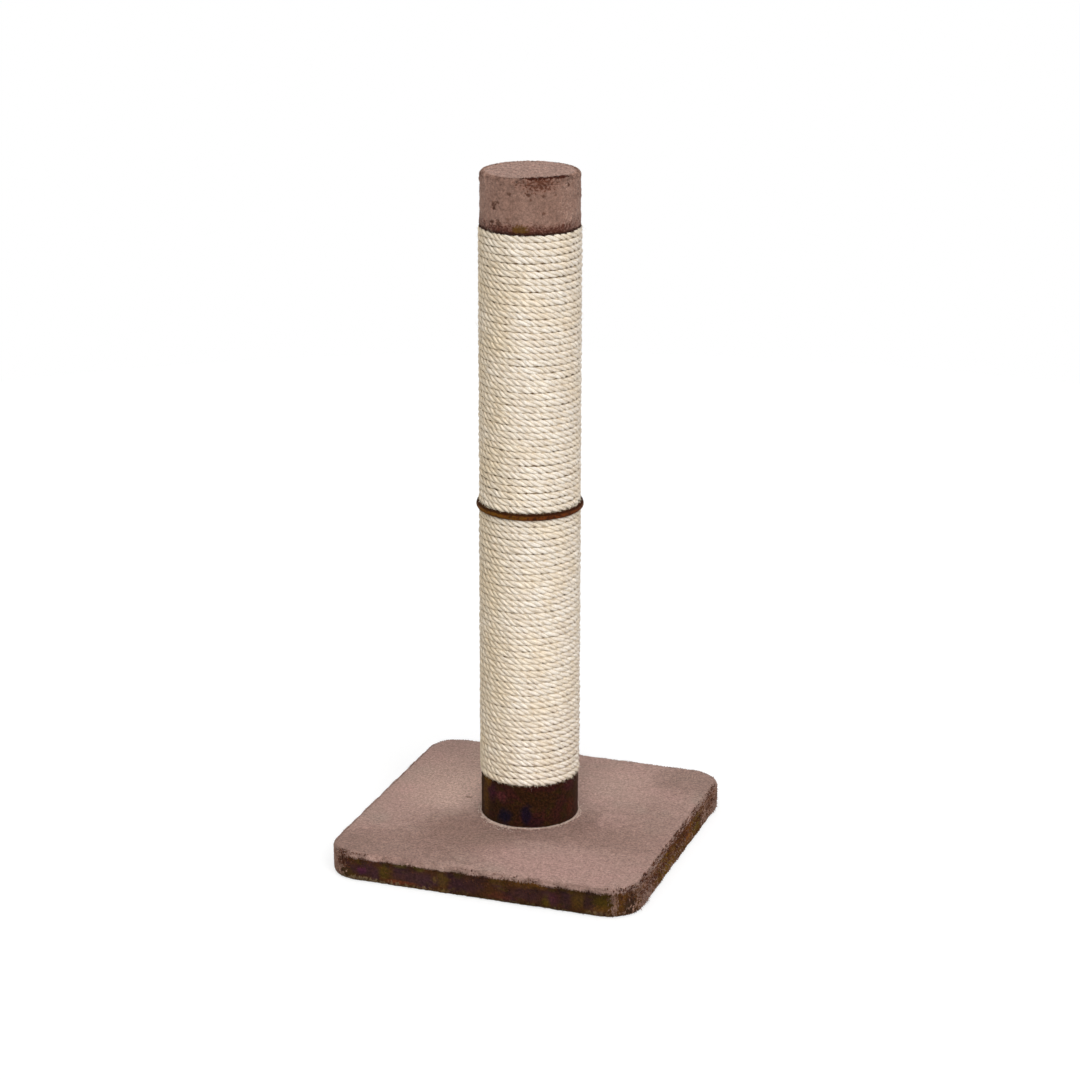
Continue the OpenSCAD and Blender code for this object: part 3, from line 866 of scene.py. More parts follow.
def post_tufts(name, count, radius, low, high, climb, lean, length, width, seed, strewn=0.3, odds=None):
    """Tufts round the post between two heights, which climb by that much and lean out by that much."""
    dice = np.random.default_rng(seed)
    angle = dice.uniform(0, 2 * math.pi, count)
    if odds is not None:
        angle = angle[dice.uniform(0, 1, count) < odds(angle)]
        count = len(angle)
    out = out_at(angle)
    roots = out * (radius - 0.5 * MM + dice.uniform(-0.3 * MM, strewn * MM, (count, 1)))
    roots[:, 2] = dice.uniform(low, high, count)
    ways = unit(out * lean + UPRIGHT * climb + dice.normal(0, 0.25, (count, 3)))
    return plant(name, roots, ways, -out * 0.2, sizes(dice, length, count), sizes(dice, width, count), dice)


def cap_rim_tufts(count, seed):
    """Short tufts over the rounded rim of the cap."""
    dice = np.random.default_rng(seed)
    angle, bend = dice.uniform(0, 2 * math.pi, count), dice.uniform(0, math.pi / 2, count)
    out = out_at(angle)
    normal = out * np.sin(bend)[:, None] + UPRIGHT * np.cos(bend)[:, None]
    roots = out * (CAP_R - CAP_RIM_R) + UPRIGHT * (POST_TOP - CAP_RIM_R) + normal * (CAP_RIM_R - 0.5 * MM)
    ways = unit(normal + dice.normal(0, 0.45, (count, 3)))
    return plant("cap_rim_tufts", roots, ways, -normal * 0.15, dice.uniform(1.2, 2.4, count) * MM,
                 dice.uniform(0.4, 0.8, count) * MM, dice)


def rope_fibres(name, halves, count, seed):
    """Thin fibres that stand off the rope, and more of them at its first and last turn."""
    dice = np.random.default_rng(seed)
    places, normals = [np.concatenate([places_of(h, what) for h in halves]) for what in ("co", "normal")]
    outer = np.hypot(places[:, 0], places[:, 1]) > ROPE_MID_R + 0.5 * ROPE_HALF_T
    places, normals = places[outer], normals[outer]
    low, high = places[:, 2].min(), places[:, 2].max()
    from_end = np.minimum(places[:, 2] - low, high - places[:, 2])
    odds = 1 + 9 * np.exp(-(from_end / (5 * MM)) ** 2)
    picked = dice.choice(len(places), count, p=odds / odds.sum())
    roots, normals = places[picked], normals[picked]
    round_post = unit(np.cross(UPRIGHT, roots * [1, 1, 0]))
    side = np.where(dice.uniform(size=(count, 1)) < 0.5, 1.0, -1.0)
    ways = unit(normals * dice.uniform(0.15, 0.7, (count, 1)) + round_post * side
                + UPRIGHT * dice.normal(-0.35, 0.35, (count, 1)) * side)
    curls = dice.normal(0, 0.3, (count, 3)) - normals * 0.15
    return plant(name, roots - normals * 0.2 * MM, ways, curls, dice.gamma(3.0, 1.8, count) * MM,
                 dice.uniform(0.16, 0.34, count) * MM, dice)


def about(angle, left, spread):
    """How near an angle is to the one that lies that far to the left of the front, from 0 to 1."""
    return np.exp(-((angle - FRONT - 2 * math.pi + left) / spread) ** 2)


def pile_odds(a):
    """Where the pale pile stands closest against the collar."""
    return 0.62 + 0.38 * np.sin(a * 23) * np.sin(a * 41 + 1) + 0.2 * np.cos(a - FRONT + 0.7)


def wisp_odds(a):
    """Where pale wisps lie on the base beside the collar."""
    at_left = about(a, 0.6, 0.4) * (0.55 + 0.45 * np.sin(a * 29) * np.sin(a * 53))
    return 0.08 + 0.12 * np.sin(a * 17) ** 2 + at_left


def stray_odds(a):
    """Where a few lie further off."""
    return 0.02 + 0.7 * about(a, 0.5, 0.35)


POST_TUFTS = [
    (LOWER, "taupe_plush", "collar_foot_pile", 3400, COLLAR_R + 1.9 * MM, BASE_TOP - 0.5 * MM,
     BASE_TOP + 0.2 * MM, 1.0, 0.25, (1.6, 3.4), (0.7, 1.4), 21, 0.8, pile_odds),
    (LOWER, "taupe_plush", "collar_foot_wisps", 2600, COLLAR_R + 2 * MM, BASE_TOP - 0.2 * MM,
     BASE_TOP + 0.6 * MM, 0.6, 0.7, (2.2, 4.6), (0.9, 1.7), 31, 5, wisp_odds),
    (LOWER, "taupe_plush", "collar_foot_strays", 900, COLLAR_R + 4 * MM, BASE_TOP - 0.2 * MM,
     BASE_TOP + 0.6 * MM, 0.6, 0.7, (2.2, 4.2), (0.9, 1.6), 32, 15, stray_odds),
    (LOWER, "sisal_rope", "lower_rope_end_fibres", 420, ROPE_OUT - 1.2 * MM, COLLAR_TOP + 0.5 * MM,
     COLLAR_TOP + 3 * MM, -1.0, 0.15, (2, 6), (0.3, 0.6), 29),
    (UPPER, "sisal_rope", "upper_rope_end_fibres", 420, ROPE_OUT - 1.2 * MM, RING_HIGH.z + 0.5 * MM,
     RING_HIGH.z + 3 * MM, -0.7, 0.5, (2, 5.5), (0.3, 0.6), 30),
    (LOWER, "dark_plush", "collar_fuzz", 5200, COLLAR_R, BASE_TOP + 1 * MM, COLLAR_TOP, 0.1, 0.8,
     (1.0, 2.2), (0.4, 0.8), 22),
    (UPPER, "taupe_plush", "cap_side_fuzz", 7000, CAP_R, CAP_FOOT + 1 * MM, POST_TOP - 5 * MM, 0.0, 0.8,
     (0.9, 1.9), (0.4, 0.8), 23),
    (UPPER, "taupe_plush", "cap_foot_tufts", 2600, CAP_R, CAP_FOOT + 0.3 * MM, CAP_FOOT + 3 * MM, -0.7,
     0.35, (2.0, 4.5), (0.8, 1.5), 24),
    ("ring", "brown_cord", "joint_ring_fuzz", 5200, RING_HIGH.x - 1 * MM, RING_LOW.z + 3 * MM,
     RING_HIGH.z - 3 * MM, 0.0, 0.9, (0.8, 1.6), (0.4, 0.8), 26),
    ("ring", "brown_cord", "joint_ring_edge_tufts", 2600, RING_HIGH.x - 1.2 * MM, RING_HIGH.z - 2.4 * MM,
     RING_HIGH.z - 1 * MM, 0.6, 0.6, (1.0, 2.4), (0.6, 1.2), 33)]
for body, slot, *row in POST_TUFTS:
    settle(post_tufts(*row), body)
settle(cap_rim_tufts(5200, 25), UPPER)
lift_lip(tufts["cap_rim_tufts"])
settle(rope_fibres("lower_rope_fibres", lower_rope, 2600, 27), LOWER)
settle(rope_fibres("upper_rope_fibres", upper_rope, 2600, 28), UPPER)

# %% [markdown]
# ## Helpers for finishes
# A finish starts from one tone and lays others over it, so each finish below reads as a recipe. Its helpers
# add one node at a time. Colours are written as they look, in 0 to 255, and turned into the linear values
# that light needs. Patches are placed in millimetres.

# %% Helpers for finishes
def colour(r, g, b):
    """A colour as it looks on a screen, in linear values."""
    return (*[c / 255 / 12.92 if c < 10.3 else ((c / 255 + 0.055) / 1.055) ** 2.4 for c in (r, g, b)], 1)


class Finish:
    """A coat in the making: its tone so far, and the shader's plain values on its own sockets."""

    def __init__(self, name, roughness, shade, sheen=(1, 1, 1), **sockets):
        self.material = bpy.data.materials.new(name)
        self.material.use_nodes = True
        self.tree = self.material.node_tree
        self.shader = self.tree.nodes["Principled BSDF"]
        self.tone = colour(*shade)
        for key, value in {"Roughness": roughness, "Sheen_Tint": (*sheen, 1), **sockets}.items():
            self.shader.inputs[key.replace("_", " ")].default_value = value

    def node(self, kind, settings=None, out=0, **inputs):
        """Adds a node to this finish."""
        return add_node(self.tree, kind, settings, out, **inputs)

    def place(self):
        """A point's own place on the object."""
        return self.node("TexCoord", out=3)

    def uv(self, name="UVMap"):
        """A point's place on the flat cloth or along the strand, in metres."""
        return self.node("UVMap", {"uv_map": name})

    def tint(self):
        """The tint from 0 to 1 that each tuft carries."""
        return self.node("Attribute", {"attribute_name": "tint"}, out=2)

    def noise(self, where, size, detail=2.0, rough=0.5):
        """Smooth noise from 0 to 1 whose lumps are about that size, in metres."""
        return self.node("TexNoise", Vector=where, Scale=1 / size, Detail=detail, Roughness=rough)

    def spread(self, value, low, high, to_low=0.0, to_high=1.0):
        """Turns low to high into to_low to to_high, smoothly."""
        return self.node("MapRange", {"interpolation_type": "SMOOTHSTEP"}, Value=value, i1=low, i2=high,
                         i3=to_low, i4=to_high)

    def level(self, noise, low, high):
        """Turns the usual range of a noise into low to high."""
        return self.spread(noise, 0.3, 0.7, low, high)

    def maths(self, operation, a, b=0.0):
        """Arithmetic on two values."""
        return self.node("Math", {"operation": operation}, i0=a, i1=b)

    def plus(self, a, b):
        """The sum of two values."""
        return self.maths("ADD", a, b)

    def minus(self, a, b):
        """One value less another."""
        return self.maths("SUBTRACT", a, b)

    def times(self, a, b):
        """The product of two values."""
        return self.maths("MULTIPLY", a, b)

    def swing(self, noise, amount):
        """A noise made to swing round 0, by half that amount each way."""
        return self.times(self.minus(noise, 0.5), amount)

    def vector(self, operation, a, b=(0, 0, 0), out=0):
        """Arithmetic on two places."""
        return self.node("VectorMath", {"operation": operation}, out, i0=a, i1=b)

    def stretch(self, where, x, y, z):
        """The same place, with each of its directions made longer or shorter."""
        return self.vector("MULTIPLY", where, (x, y, z))

    def scaled(self, value, amount):
        """A place or a colour times an amount."""
        return self.node("VectorMath", {"operation": "SCALE"}, i0=value, Scale=amount)

    def bent(self, where, at, scale, amount):
        """The same place, drawn a little every way by a noise."""
        way = self.node("TexNoise", out=1, Vector=at, Scale=scale, Detail=2)
        return self.vector("ADD", where, self.scaled(way, amount))

    def part(self, where, axis):
        """One coordinate of a place: 0 for x, 1 for y and 2 for z."""
        return self.node("SeparateXYZ", out=axis, Vector=where)

    def from_middle(self, where):
        """How far a place is from the middle of the post."""
        return self.vector("LENGTH", self.stretch(where, 1, 1, 0), out=1)

    def ahead(self, where):
        """How far a place is to the front."""
        return self.vector("DOT_PRODUCT", where, (math.cos(FRONT), math.sin(FRONT), 0), out=1)

    def aside(self, where):
        """How far a place is to the right, seen from the front."""
        return self.vector("DOT_PRODUCT", where, (-math.sin(FRONT), math.cos(FRONT), 0), out=1)

    def mixed(self, share, a, b):
        """Colour b over colour a by that share."""
        return self.node("Mix", {"data_type": "RGBA"}, out=2, i0=share, i6=a, i7=b)

    def lay(self, shade, share):
        """Lays a colour over the tone by that share."""
        self.tone = self.mixed(share, self.tone, colour(*shade))

    def light(self, amount):
        """Makes the tone that many times as bright."""
        self.tone = self.scaled(self.tone, amount)

    def light_by_tint(self, low=0.82, high=1.15):
        """Makes the tone darker or lighter by each tuft's own tint."""
        self.light(self.spread(self.tint(), 0.0, 1.0, low, high))

    def pile(self, where, tuft, cloud):
        """Heights of the pile: its tufts, the locks that they lean together in, and wide clouds."""
        lock = self.noise(where, tuft * 2.6, 2.0, 0.55)
        return self.noise(where, tuft, 3.0, 0.65), lock, self.noise(where, cloud)

    def speckle(self, pile, depth):
        """How light each tuft is, round 1, from the heights of the pile."""
        tuft, lock, cloud = [self.level(height, 1 - part * depth, 1 + part * depth)
                             for height, part in zip(pile, (1, 0.8, 0.25))]
        return self.times(self.times(tuft, lock), cloud)

    def patch(self, where, oval, ragged, edge, up=0.0):
        """1 inside an oval given as (x, y, half width, half height) and 0 outside it, with its edge broken up
        by that noise and its middle that much further up."""
        x, y, half_x, half_y = [size * MM for size in oval]
        away = self.stretch(self.vector("SUBTRACT", where, (x, up + y, 0)), 1 / half_x, 1 / half_y, 0)
        return self.spread(self.plus(self.vector("LENGTH", away, out=1), ragged), 1 + edge, 1 - edge)

    def mark(self, where, oval, share, shade, ragged, edge, up=0.0):
        """Lays a colour over the tone in one such patch."""
        self.lay(shade, self.times(self.patch(where, oval, ragged, edge, up), share))

    def done(self, height=None, distance=0.0, strength=1.0):
        """Puts the tone on the surface, with a height for its small shape, and gives the material."""
        self.tree.links.new(self.tone, self.shader.inputs["Base Color"])
        if height is not None:
            bump = self.node("Bump", Height=height, Distance=distance, Strength=strength)
            self.tree.links.new(bump, self.shader.inputs["Normal"])
        return self.material


def dress_tufts(finish, *names):
    """Puts the finish on the tufts of those names."""
    dress(finish, *[tufts[name] for name in names])


print("finish helpers ready")

# %% [markdown]
# ## Taupe plush
# The taupe pile is dense and matt. Up close it is a field of short tufts, lighter at their tips. From a
# step away it shows soft clouds where the pile leans one way or another, a little pinker here and greyer
# there. Patches paint light and shade on it: lighter ones behind and beside the post, where its shadow
# falls, and darker ones round the collar and at the corners. Each patch is given as x, y, half width, half
# height, share and tone.

# %% Taupe plush
SOFT = 0.5
TAUPE, TAUPE_PINK, TAUPE_GREY = (160, 131, 121), (164, 132, 123), (155, 131, 120)
# Painted light and shade: lighter patches behind and beside the post where its shadow falls, darker ones
# round the collar and at the corners.
TOP_LIGHT_AND_SHADE_PATCHES = [
    (-130, 90, 85, 130, 0.8, (184, 154, 141)), (-110, 68, 48, 75, 0.6, (206, 174, 160)),
    (-55, -115, 85, 80, 0.8, (129, 101, 90)), (-150, -200, 130, 60, 0.7, (137, 109, 99)),
    (-225, -215, 40, 40, 0.5, (128, 104, 93)), (95, -64, 120, 50, 0.7, (134, 106, 96)),
    (200, -40, 55, 110, 0.5, (144, 115, 105)), (205, 200, 60, 60, 0.7, (136, 110, 100)),
    (95, 130, 60, 70, 0.5, (178, 147, 136)), (90, -175, 110, 50, 0.6, (168, 134, 126)),
    (20, -86, 60, 16, 0.4, (128, 100, 90)), (90, -22, 24, 50, 0.5, (126, 98, 88)),
    (-128, 2, 38, 34, 0.22, (190, 160, 147)), (-106, 16, 6, 3, 0.6, (92, 60, 46))]


def taupe_finish():
    """Taupe plush with its clouds and its patches of painted light and shade."""
    coat = Finish("taupe_plush_base", 0.95, TAUPE, (1.0, 0.84, 0.76), Specular_IOR_Level=0.1,
                  Sheen_Weight=0.1, Sheen_Roughness=0.5)
    cloth = coat.uv()
    pile = coat.pile(cloth, 1.6 * MM, 14 * MM)
    wide = coat.noise(cloth, 85 * MM)
    coat.lay(TAUPE_PINK, coat.spread(wide, 0.52, 0.68))
    coat.lay(TAUPE_GREY, coat.spread(wide, 0.5, 0.34))
    ragged = coat.swing(pile[2], 0.9)
    for *oval, share, shade in TOP_LIGHT_AND_SHADE_PATCHES:
        coat.mark(cloth, oval, share, shade, ragged, SOFT)
    coat.light(coat.speckle(pile, 0.3))
    return coat.done(coat.plus(*pile[:2]), 0.9 * MM, 0.7)


dress(taupe_finish(), base_top)
print("taupe plush on the base")

# %% [markdown]
# ## The cap
# The cap's side is painted darker than its top, as painted shade, and lighter towards its left and right,
# as painted light. Along part of the rim a dark line is painted as the shadow in the gap where the top cloth
# lifts off the side, with ragged reddish-brown marks round it. The lower edge has ragged reddish-brown
# marks, an olive one among them, and a dark line, and a few specks lie below the rim. One map serves both
# cloths of the cap: how far round from the line that faces the camera, and how far over the rim.

# %% Cap finishes
# The side's colour is painted darker than the top's, as painted shade on the upright side.
CAP_SHADED_SIDE, CAP_LIT_TOP = (132, 102, 89), (150, 121, 110)
CAP_SPECKS = [
    (-57, -40, 6, 5, 0.8), (-50, -36, 4, 2, 0.7), (-58, -45, 4, 2, 0.6), (-31, -21, 3, 2.4, 0.6),
    (-2, -22, 3.4, 2, 0.8), (1, -29, 2, 1.8, 0.7), (19, -24, 3.2, 2, 0.7), (20, -49, 3, 2.4, 0.7),
    (63, -12, 3, 2.6, 0.95), (-20, -7, 2, 1.8, 0.7), (38, -24, 2, 1.6, 0.5), (-62, -65, 5, 2.6, 0.9),
    (-50, -65, 3, 5, 0.7), (-33, -60, 3, 4, 0.5)]


def over_the_rim(coat, place):
    """How far round the cap a place is, and how far above its rim or in from it."""
    arc = coat.times(coat.maths("ARCTAN2", coat.aside(place), coat.ahead(place)), CAP_R)
    inward = coat.minus(CAP_R, coat.from_middle(place))
    height = coat.minus(coat.part(place, 2), POST_TOP)
    return arc, coat.plus(height, coat.maths("MAXIMUM", inward, 0.0))


def cap_finish(name, on_tufts=False):
    """Taupe plush with painted light and shade, a painted shadow at the rim and brown marks, for cloths or
    tufts.
    """
    coat = Finish(name, 0.95, CAP_SHADED_SIDE, (1.0, 0.82, 0.72), Specular_IOR_Level=0.1, Sheen_Weight=0.16,
                  Sheen_Roughness=0.45)
    foot = CAP_FOOT - POST_TOP
    place = coat.place()
    arc, over = over_the_rim(coat, place)
    rim = coat.node("CombineXYZ", X=arc, Y=over)
    pile = coat.pile(place, 1.5 * MM, 9 * MM)
    ragged = coat.swing(coat.noise(place, 3.4 * MM, 2.5, 0.65), 5.0)

    def torn(noise, reach, starts, ends):
        """0 to 1 between two heights over the rim, with a torn edge."""
        return coat.spread(coat.plus(over, coat.times(noise, reach)), starts, ends)

    coat.lay([c + 7 for c in CAP_SHADED_SIDE], coat.spread(coat.noise(place, 40 * MM), 0.4, 0.65))
    # Painted light: the side is made lighter towards its left and right, as seen from the front.
    coat.light(coat.spread(arc, -20 * MM, -80 * MM, 1.0, 1.24))
    coat.light(coat.spread(arc, 15 * MM, 75 * MM, 1.0, 1.12))
    pale = coat.spread(coat.noise(place, 1.9 * MM, 1.0), 0.58, 0.70)
    coat.lay((198, 168, 154), coat.times(pale, coat.spread(arc, 25 * MM, 60 * MM, 0.0, 0.5)))
    # The lit top's colour takes over a little way over the rim.
    edge = torn(ragged, 1.5 * MM, 5 * MM, 10 * MM)
    coat.lay(CAP_LIT_TOP, edge)
    coat.mark(rim, (14, -7, 30, 11), 0.45, (112, 70, 56), coat.times(ragged, 0.3), 0.6)
    coat.mark(rim, (14, -6, 30, 13), 0.75, (76, 36, 18), coat.plus(ragged, 0.5), 0.25)
    # Painted shadow in the gap where the top cloth lifts off the side at the rim.
    painted_gap_shadow = coat.maths("MAXIMUM", coat.patch(rim, (18, 5, 31, 4.6), coat.times(ragged, 0.65), 0.2),
                       coat.patch(rim, (48, 4.6, 17, 5), coat.times(ragged, 0.45), 0.2))
    coat.lay((56, 16, 3), coat.times(painted_gap_shadow, 0.97))
    near_front = coat.patch(rim, (-5, 8, 75, 40), coat.times(ragged, 0.2), SOFT, foot)
    band = torn(ragged, 5 * MM, foot + 20 * MM, foot + 7 * MM)
    coat.lay((94, 50, 38), coat.times(band, coat.spread(near_front, 0.0, 1.0, 0.25, 0.62)))
    dots = torn(coat.plus(ragged, 0.75), 11 * MM, foot + 20 * MM, foot + 15 * MM)
    coat.lay((66, 28, 18), coat.times(dots, coat.spread(near_front, 0.0, 1.0, 0.35, 0.78)))
    coat.mark(rim, (-14, 7, 12, 7), 0.75, (92, 64, 16), coat.times(ragged, 0.4), 0.3, foot)
    coat.lay((52, 18, 4), coat.times(torn(ragged, 2 * MM, foot + 4.5 * MM, foot + 2 * MM), 0.92))
    for *oval, share in CAP_SPECKS:
        coat.mark(rim, oval, share, (72, 40, 26), coat.times(ragged, 0.5), 0.4)
    side, top = [coat.scaled(coat.tone, coat.speckle(pile, depth)) for depth in (0.22, 0.42)]
    coat.tone = coat.mixed(edge, side, top)
    if on_tufts:
        coat.light_by_tint()
    return coat.done(coat.plus(*pile[:2]), 0.8 * MM, 0.7)


dress(cap_finish("taupe_plush_cap"), cap_side, cap_top)
dress_tufts(cap_finish("taupe_plush_cap_tufts", on_tufts=True), "cap_side_fuzz", "cap_rim_tufts",
            "cap_foot_tufts")
print("cap finishes done")

# %% [markdown]
# ## Dark plush
# The dark pile swallows light. Its brown shifts towards purple in some places and towards olive and gold in
# others, most of all on the right-hand side, where the pile is brushed over. The collar is the darkest of
# it, nearly black low down at the front. Patches are given as on the taupe plush, and wisps also say how
# sparse they are.

# %% Dark plush
DARK, OLIVE, PLUM, TAUPE_WISP, RUST = (62, 36, 18), (70, 54, 13), (54, 31, 34), (150, 117, 101), (86, 34, 16)
SIDE_UP = STRIP_W / 2 - BASE_SEAM
SIDE_PATCHES = [
    (450, 22, 210, 40, 0.75, (104, 68, 32)), (-215, 28, 9, 16, 0.6, (60, 34, 20)),
    (-205, 14, 10, 9, 0.8, (58, 41, 18)), (-175, 20, 20, 9, 0.8, PLUM), (-180, 20, 7, 6, 0.6, (78, 32, 58)),
    (-143, 23, 8, 14, 0.75, OLIVE), (-95, 20, 33, 11, 0.8, (56, 34, 38)),
    (-118, 9, 26, 3, 0.7, (98, 48, 28)), (-118, 36, 11, 4, 0.7, (76, 64, 26)),
    (-89, 35, 8, 4, 0.7, (70, 58, 20)), (-52, 24, 8, 13, 0.7, (72, 52, 20)),
    (-64, 22, 3, 5, 0.5, (94, 70, 34)), (-27, 34, 6, 6, 0.7, (70, 52, 20)), (-12, 20, 22, 12, 0.75, PLUM),
    (35, 33, 11, 6, 0.75, (80, 56, 20)), (40, 10, 20, 6, 0.6, (74, 36, 26)), (80, 20, 27, 10, 0.75, PLUM),
    (76, 35, 32, 5, 0.7, (96, 62, 26)), (94, 37, 11, 5, 0.8, (102, 68, 26)), (110, 14, 6, 8, 0.7, OLIVE),
    (122, 20, 10, 8, 0.7, (66, 32, 40)), (140, 18, 10, 11, 0.7, (46, 28, 32)),
    (160, 24, 10, 13, 0.7, (72, 52, 18)), (175, 20, 6, 9, 0.8, (46, 26, 28)),
    (197, 27, 16, 11, 0.9, (62, 48, 12)), (196, 13, 16, 6, 0.6, (88, 60, 20)),
    (225, 30, 11, 15, 0.85, (92, 60, 18)), (240, 16, 11, 12, 0.85, (50, 35, 26)),
    (390, 25, 44, 20, 0.9, (108, 78, 26)), (385, 24, 12, 7, 0.8, (120, 78, 24)),
    (445, 20, 22, 14, 0.85, (100, 66, 22)), (508, 25, 25, 12, 0.9, (122, 72, 28)),
    (543, 25, 28, 13, 0.85, (94, 74, 24)), (580, 18, 12, 11, 0.7, (66, 42, 32)),
    (622, 32, 20, 8, 0.7, (86, 50, 25))]
SIDE_WISPS = [
    (214, 24, 6, 26, 0.6, TAUPE_WISP, 0.3), (290, 22, 33, 32, 0.9, TAUPE_WISP, 0.1),
    (335, 36, 40, 14, 0.8, TAUPE_WISP, 0.3), (480, 38, 170, 10, 0.7, TAUPE_WISP, 0.9),
    (470, 18, 150, 18, 0.3, TAUPE_WISP, 1.5), (598, 20, 16, 22, 0.8, TAUPE_WISP, 0.2),
    (662, 22, 26, 32, 0.95, TAUPE_WISP, -0.3), (288, 26, 26, 16, 0.9, RUST, 0.6),
    (330, 22, 50, 18, 0.85, RUST, 0.8), (450, 38, 190, 10, 0.85, (70, 32, 15), 0.7),
    (-238, 24, 17, 34, 0.9, (144, 113, 98), -0.4), (-172, 3, 70, 5, 0.7, (112, 94, 70), 0.1),
    (90, 2, 150, 4, 0.5, (92, 80, 48), 0.3), (262, 39, 28, 8, 0.7, TAUPE_WISP, 0.1),
    (290, 7, 45, 9, 0.7, TAUPE_WISP, 0.1), (596, 38, 50, 8, 0.6, TAUPE_WISP, 0.3),
    (-75, 4, 55, 4, 0.4, (104, 80, 50), 0.2), (192, 4, 22, 5, 0.5, (112, 90, 62), 0.2)]
COLLAR_PATCHES = [
    (-40, -19, 12, 12, 0.9, (14, 12, 28)), (-5, -12, 8, 15, 0.9, (20, 12, 28)),
    (10, -27, 12, 8, 0.6, (34, 12, 20)), (-68, 15, 12, 14, 0.7, (52, 20, 34)),
    (-46, 12, 10, 9, 0.8, (74, 34, 36)), (-77, 31, 9, 11, 0.85, (98, 66, 20)),
    (-84, 0, 10, 26, 0.8, (82, 54, 16)), (74, -12, 10, 14, 0.7, (66, 26, 18)),
    (70, 25, 14, 9, 0.6, (60, 22, 30)), (20, 30, 30, 5, 0.6, (48, 16, 16))]


def dark_finish(name, body, purple, olive, share_olive, patches, wisps=(), up=0.0, depth=0.3,
                on_tufts=False):
    """Dark plush that shifts between its tones, with soft patches and then ragged wisps of pile."""
    coat = Finish(name, 0.95, body, (1.0, 0.6, 0.42), Specular_IOR_Level=0.05, Sheen_Weight=0.05,
                  Sheen_Roughness=0.4)
    cloth = coat.uv()
    pile = coat.pile(cloth, 1.5 * MM, 11 * MM)
    coat.lay(purple, coat.spread(coat.noise(cloth, 34 * MM, 2.0, 0.55), 0.46, 0.62))
    other = coat.noise(coat.stretch(cloth, 1, 1.6, 1), 21 * MM, 2.0, 0.55)
    coat.lay(olive, coat.times(coat.spread(other, 0.50, 0.66), share_olive))
    ragged = coat.swing(pile[2], 1.4)
    for *oval, share, shade in patches:
        coat.mark(cloth, oval, share, shade, ragged, SOFT, up)
    if wisps:
        ragged = coat.swing(coat.noise(coat.stretch(cloth, 1, 0.55, 1), 4.2 * MM, 2.5, 0.6), 6.0)
    for *oval, share, shade, sparse in wisps:
        coat.mark(cloth, oval, share, shade, coat.plus(ragged, sparse), 0.25, up)
    coat.light(coat.speckle(pile, depth))
    if on_tufts:
        coat.light_by_tint(0.75, 1.3)
    return coat.done(coat.plus(*pile[:2]), 0.9 * MM, 0.8)


base_side_tones = (DARK, PLUM, OLIVE, 0.5, SIDE_PATCHES, SIDE_WISPS, SIDE_UP)
dress(dark_finish("dark_plush_base", *base_side_tones), base_side)
dress_tufts(dark_finish("dark_plush_base_tufts", *base_side_tones, on_tufts=True), "base_side_fuzz",
            "base_seam_tufts", "base_foot_tufts")
dress(dark_finish("dark_plush_collar", (44, 24, 10), (50, 22, 18), (44, 30, 8), 0.7, COLLAR_PATCHES,
                  depth=0.55), collar)
print("dark plush done")

# %% [markdown]
# ## Finish of the tufts
# Each tuft carries its own tint from 0 to 1, which moves it between two shades of its pile, and clumps of
# them lean to one shade together.

# %% Tuft finishes
def tuft_finish(name, dark, light, rough=0.9):
    """Tufts between two shades."""
    coat = Finish(name, rough, dark, Specular_IOR_Level=0.15, Sheen_Weight=0.05)
    share = coat.plus(coat.times(coat.tint(), 0.7), coat.times(coat.noise(coat.place(), 9 * MM), 0.5))
    coat.lay(light, coat.spread(share, 0.1, 1.0))
    return coat.done()


dress_tufts(tuft_finish("dark_tufts", (50, 18, 8), (98, 52, 24)), "base_corner_streaks")
dress_tufts(tuft_finish("taupe_tufts", (132, 104, 93), (170, 142, 129)), "base_rim_tufts")
dress_tufts(tuft_finish("taupe_corner_tufts", (108, 76, 60), (164, 132, 117)), "base_corner_tufts")
dress_tufts(tuft_finish("pale_pile", (176, 148, 134), (226, 204, 190)), "collar_foot_pile",
            "collar_foot_wisps", "collar_foot_strays")
dress_tufts(tuft_finish("collar_fuzz", (34, 18, 8), (64, 36, 18)), "collar_fuzz")
dress_tufts(tuft_finish("sisal_fibres", (206, 186, 150), (246, 238, 220), 0.6), "lower_rope_fibres",
            "upper_rope_fibres", "lower_rope_end_fibres", "upper_rope_end_fibres")
print("tuft finishes done")
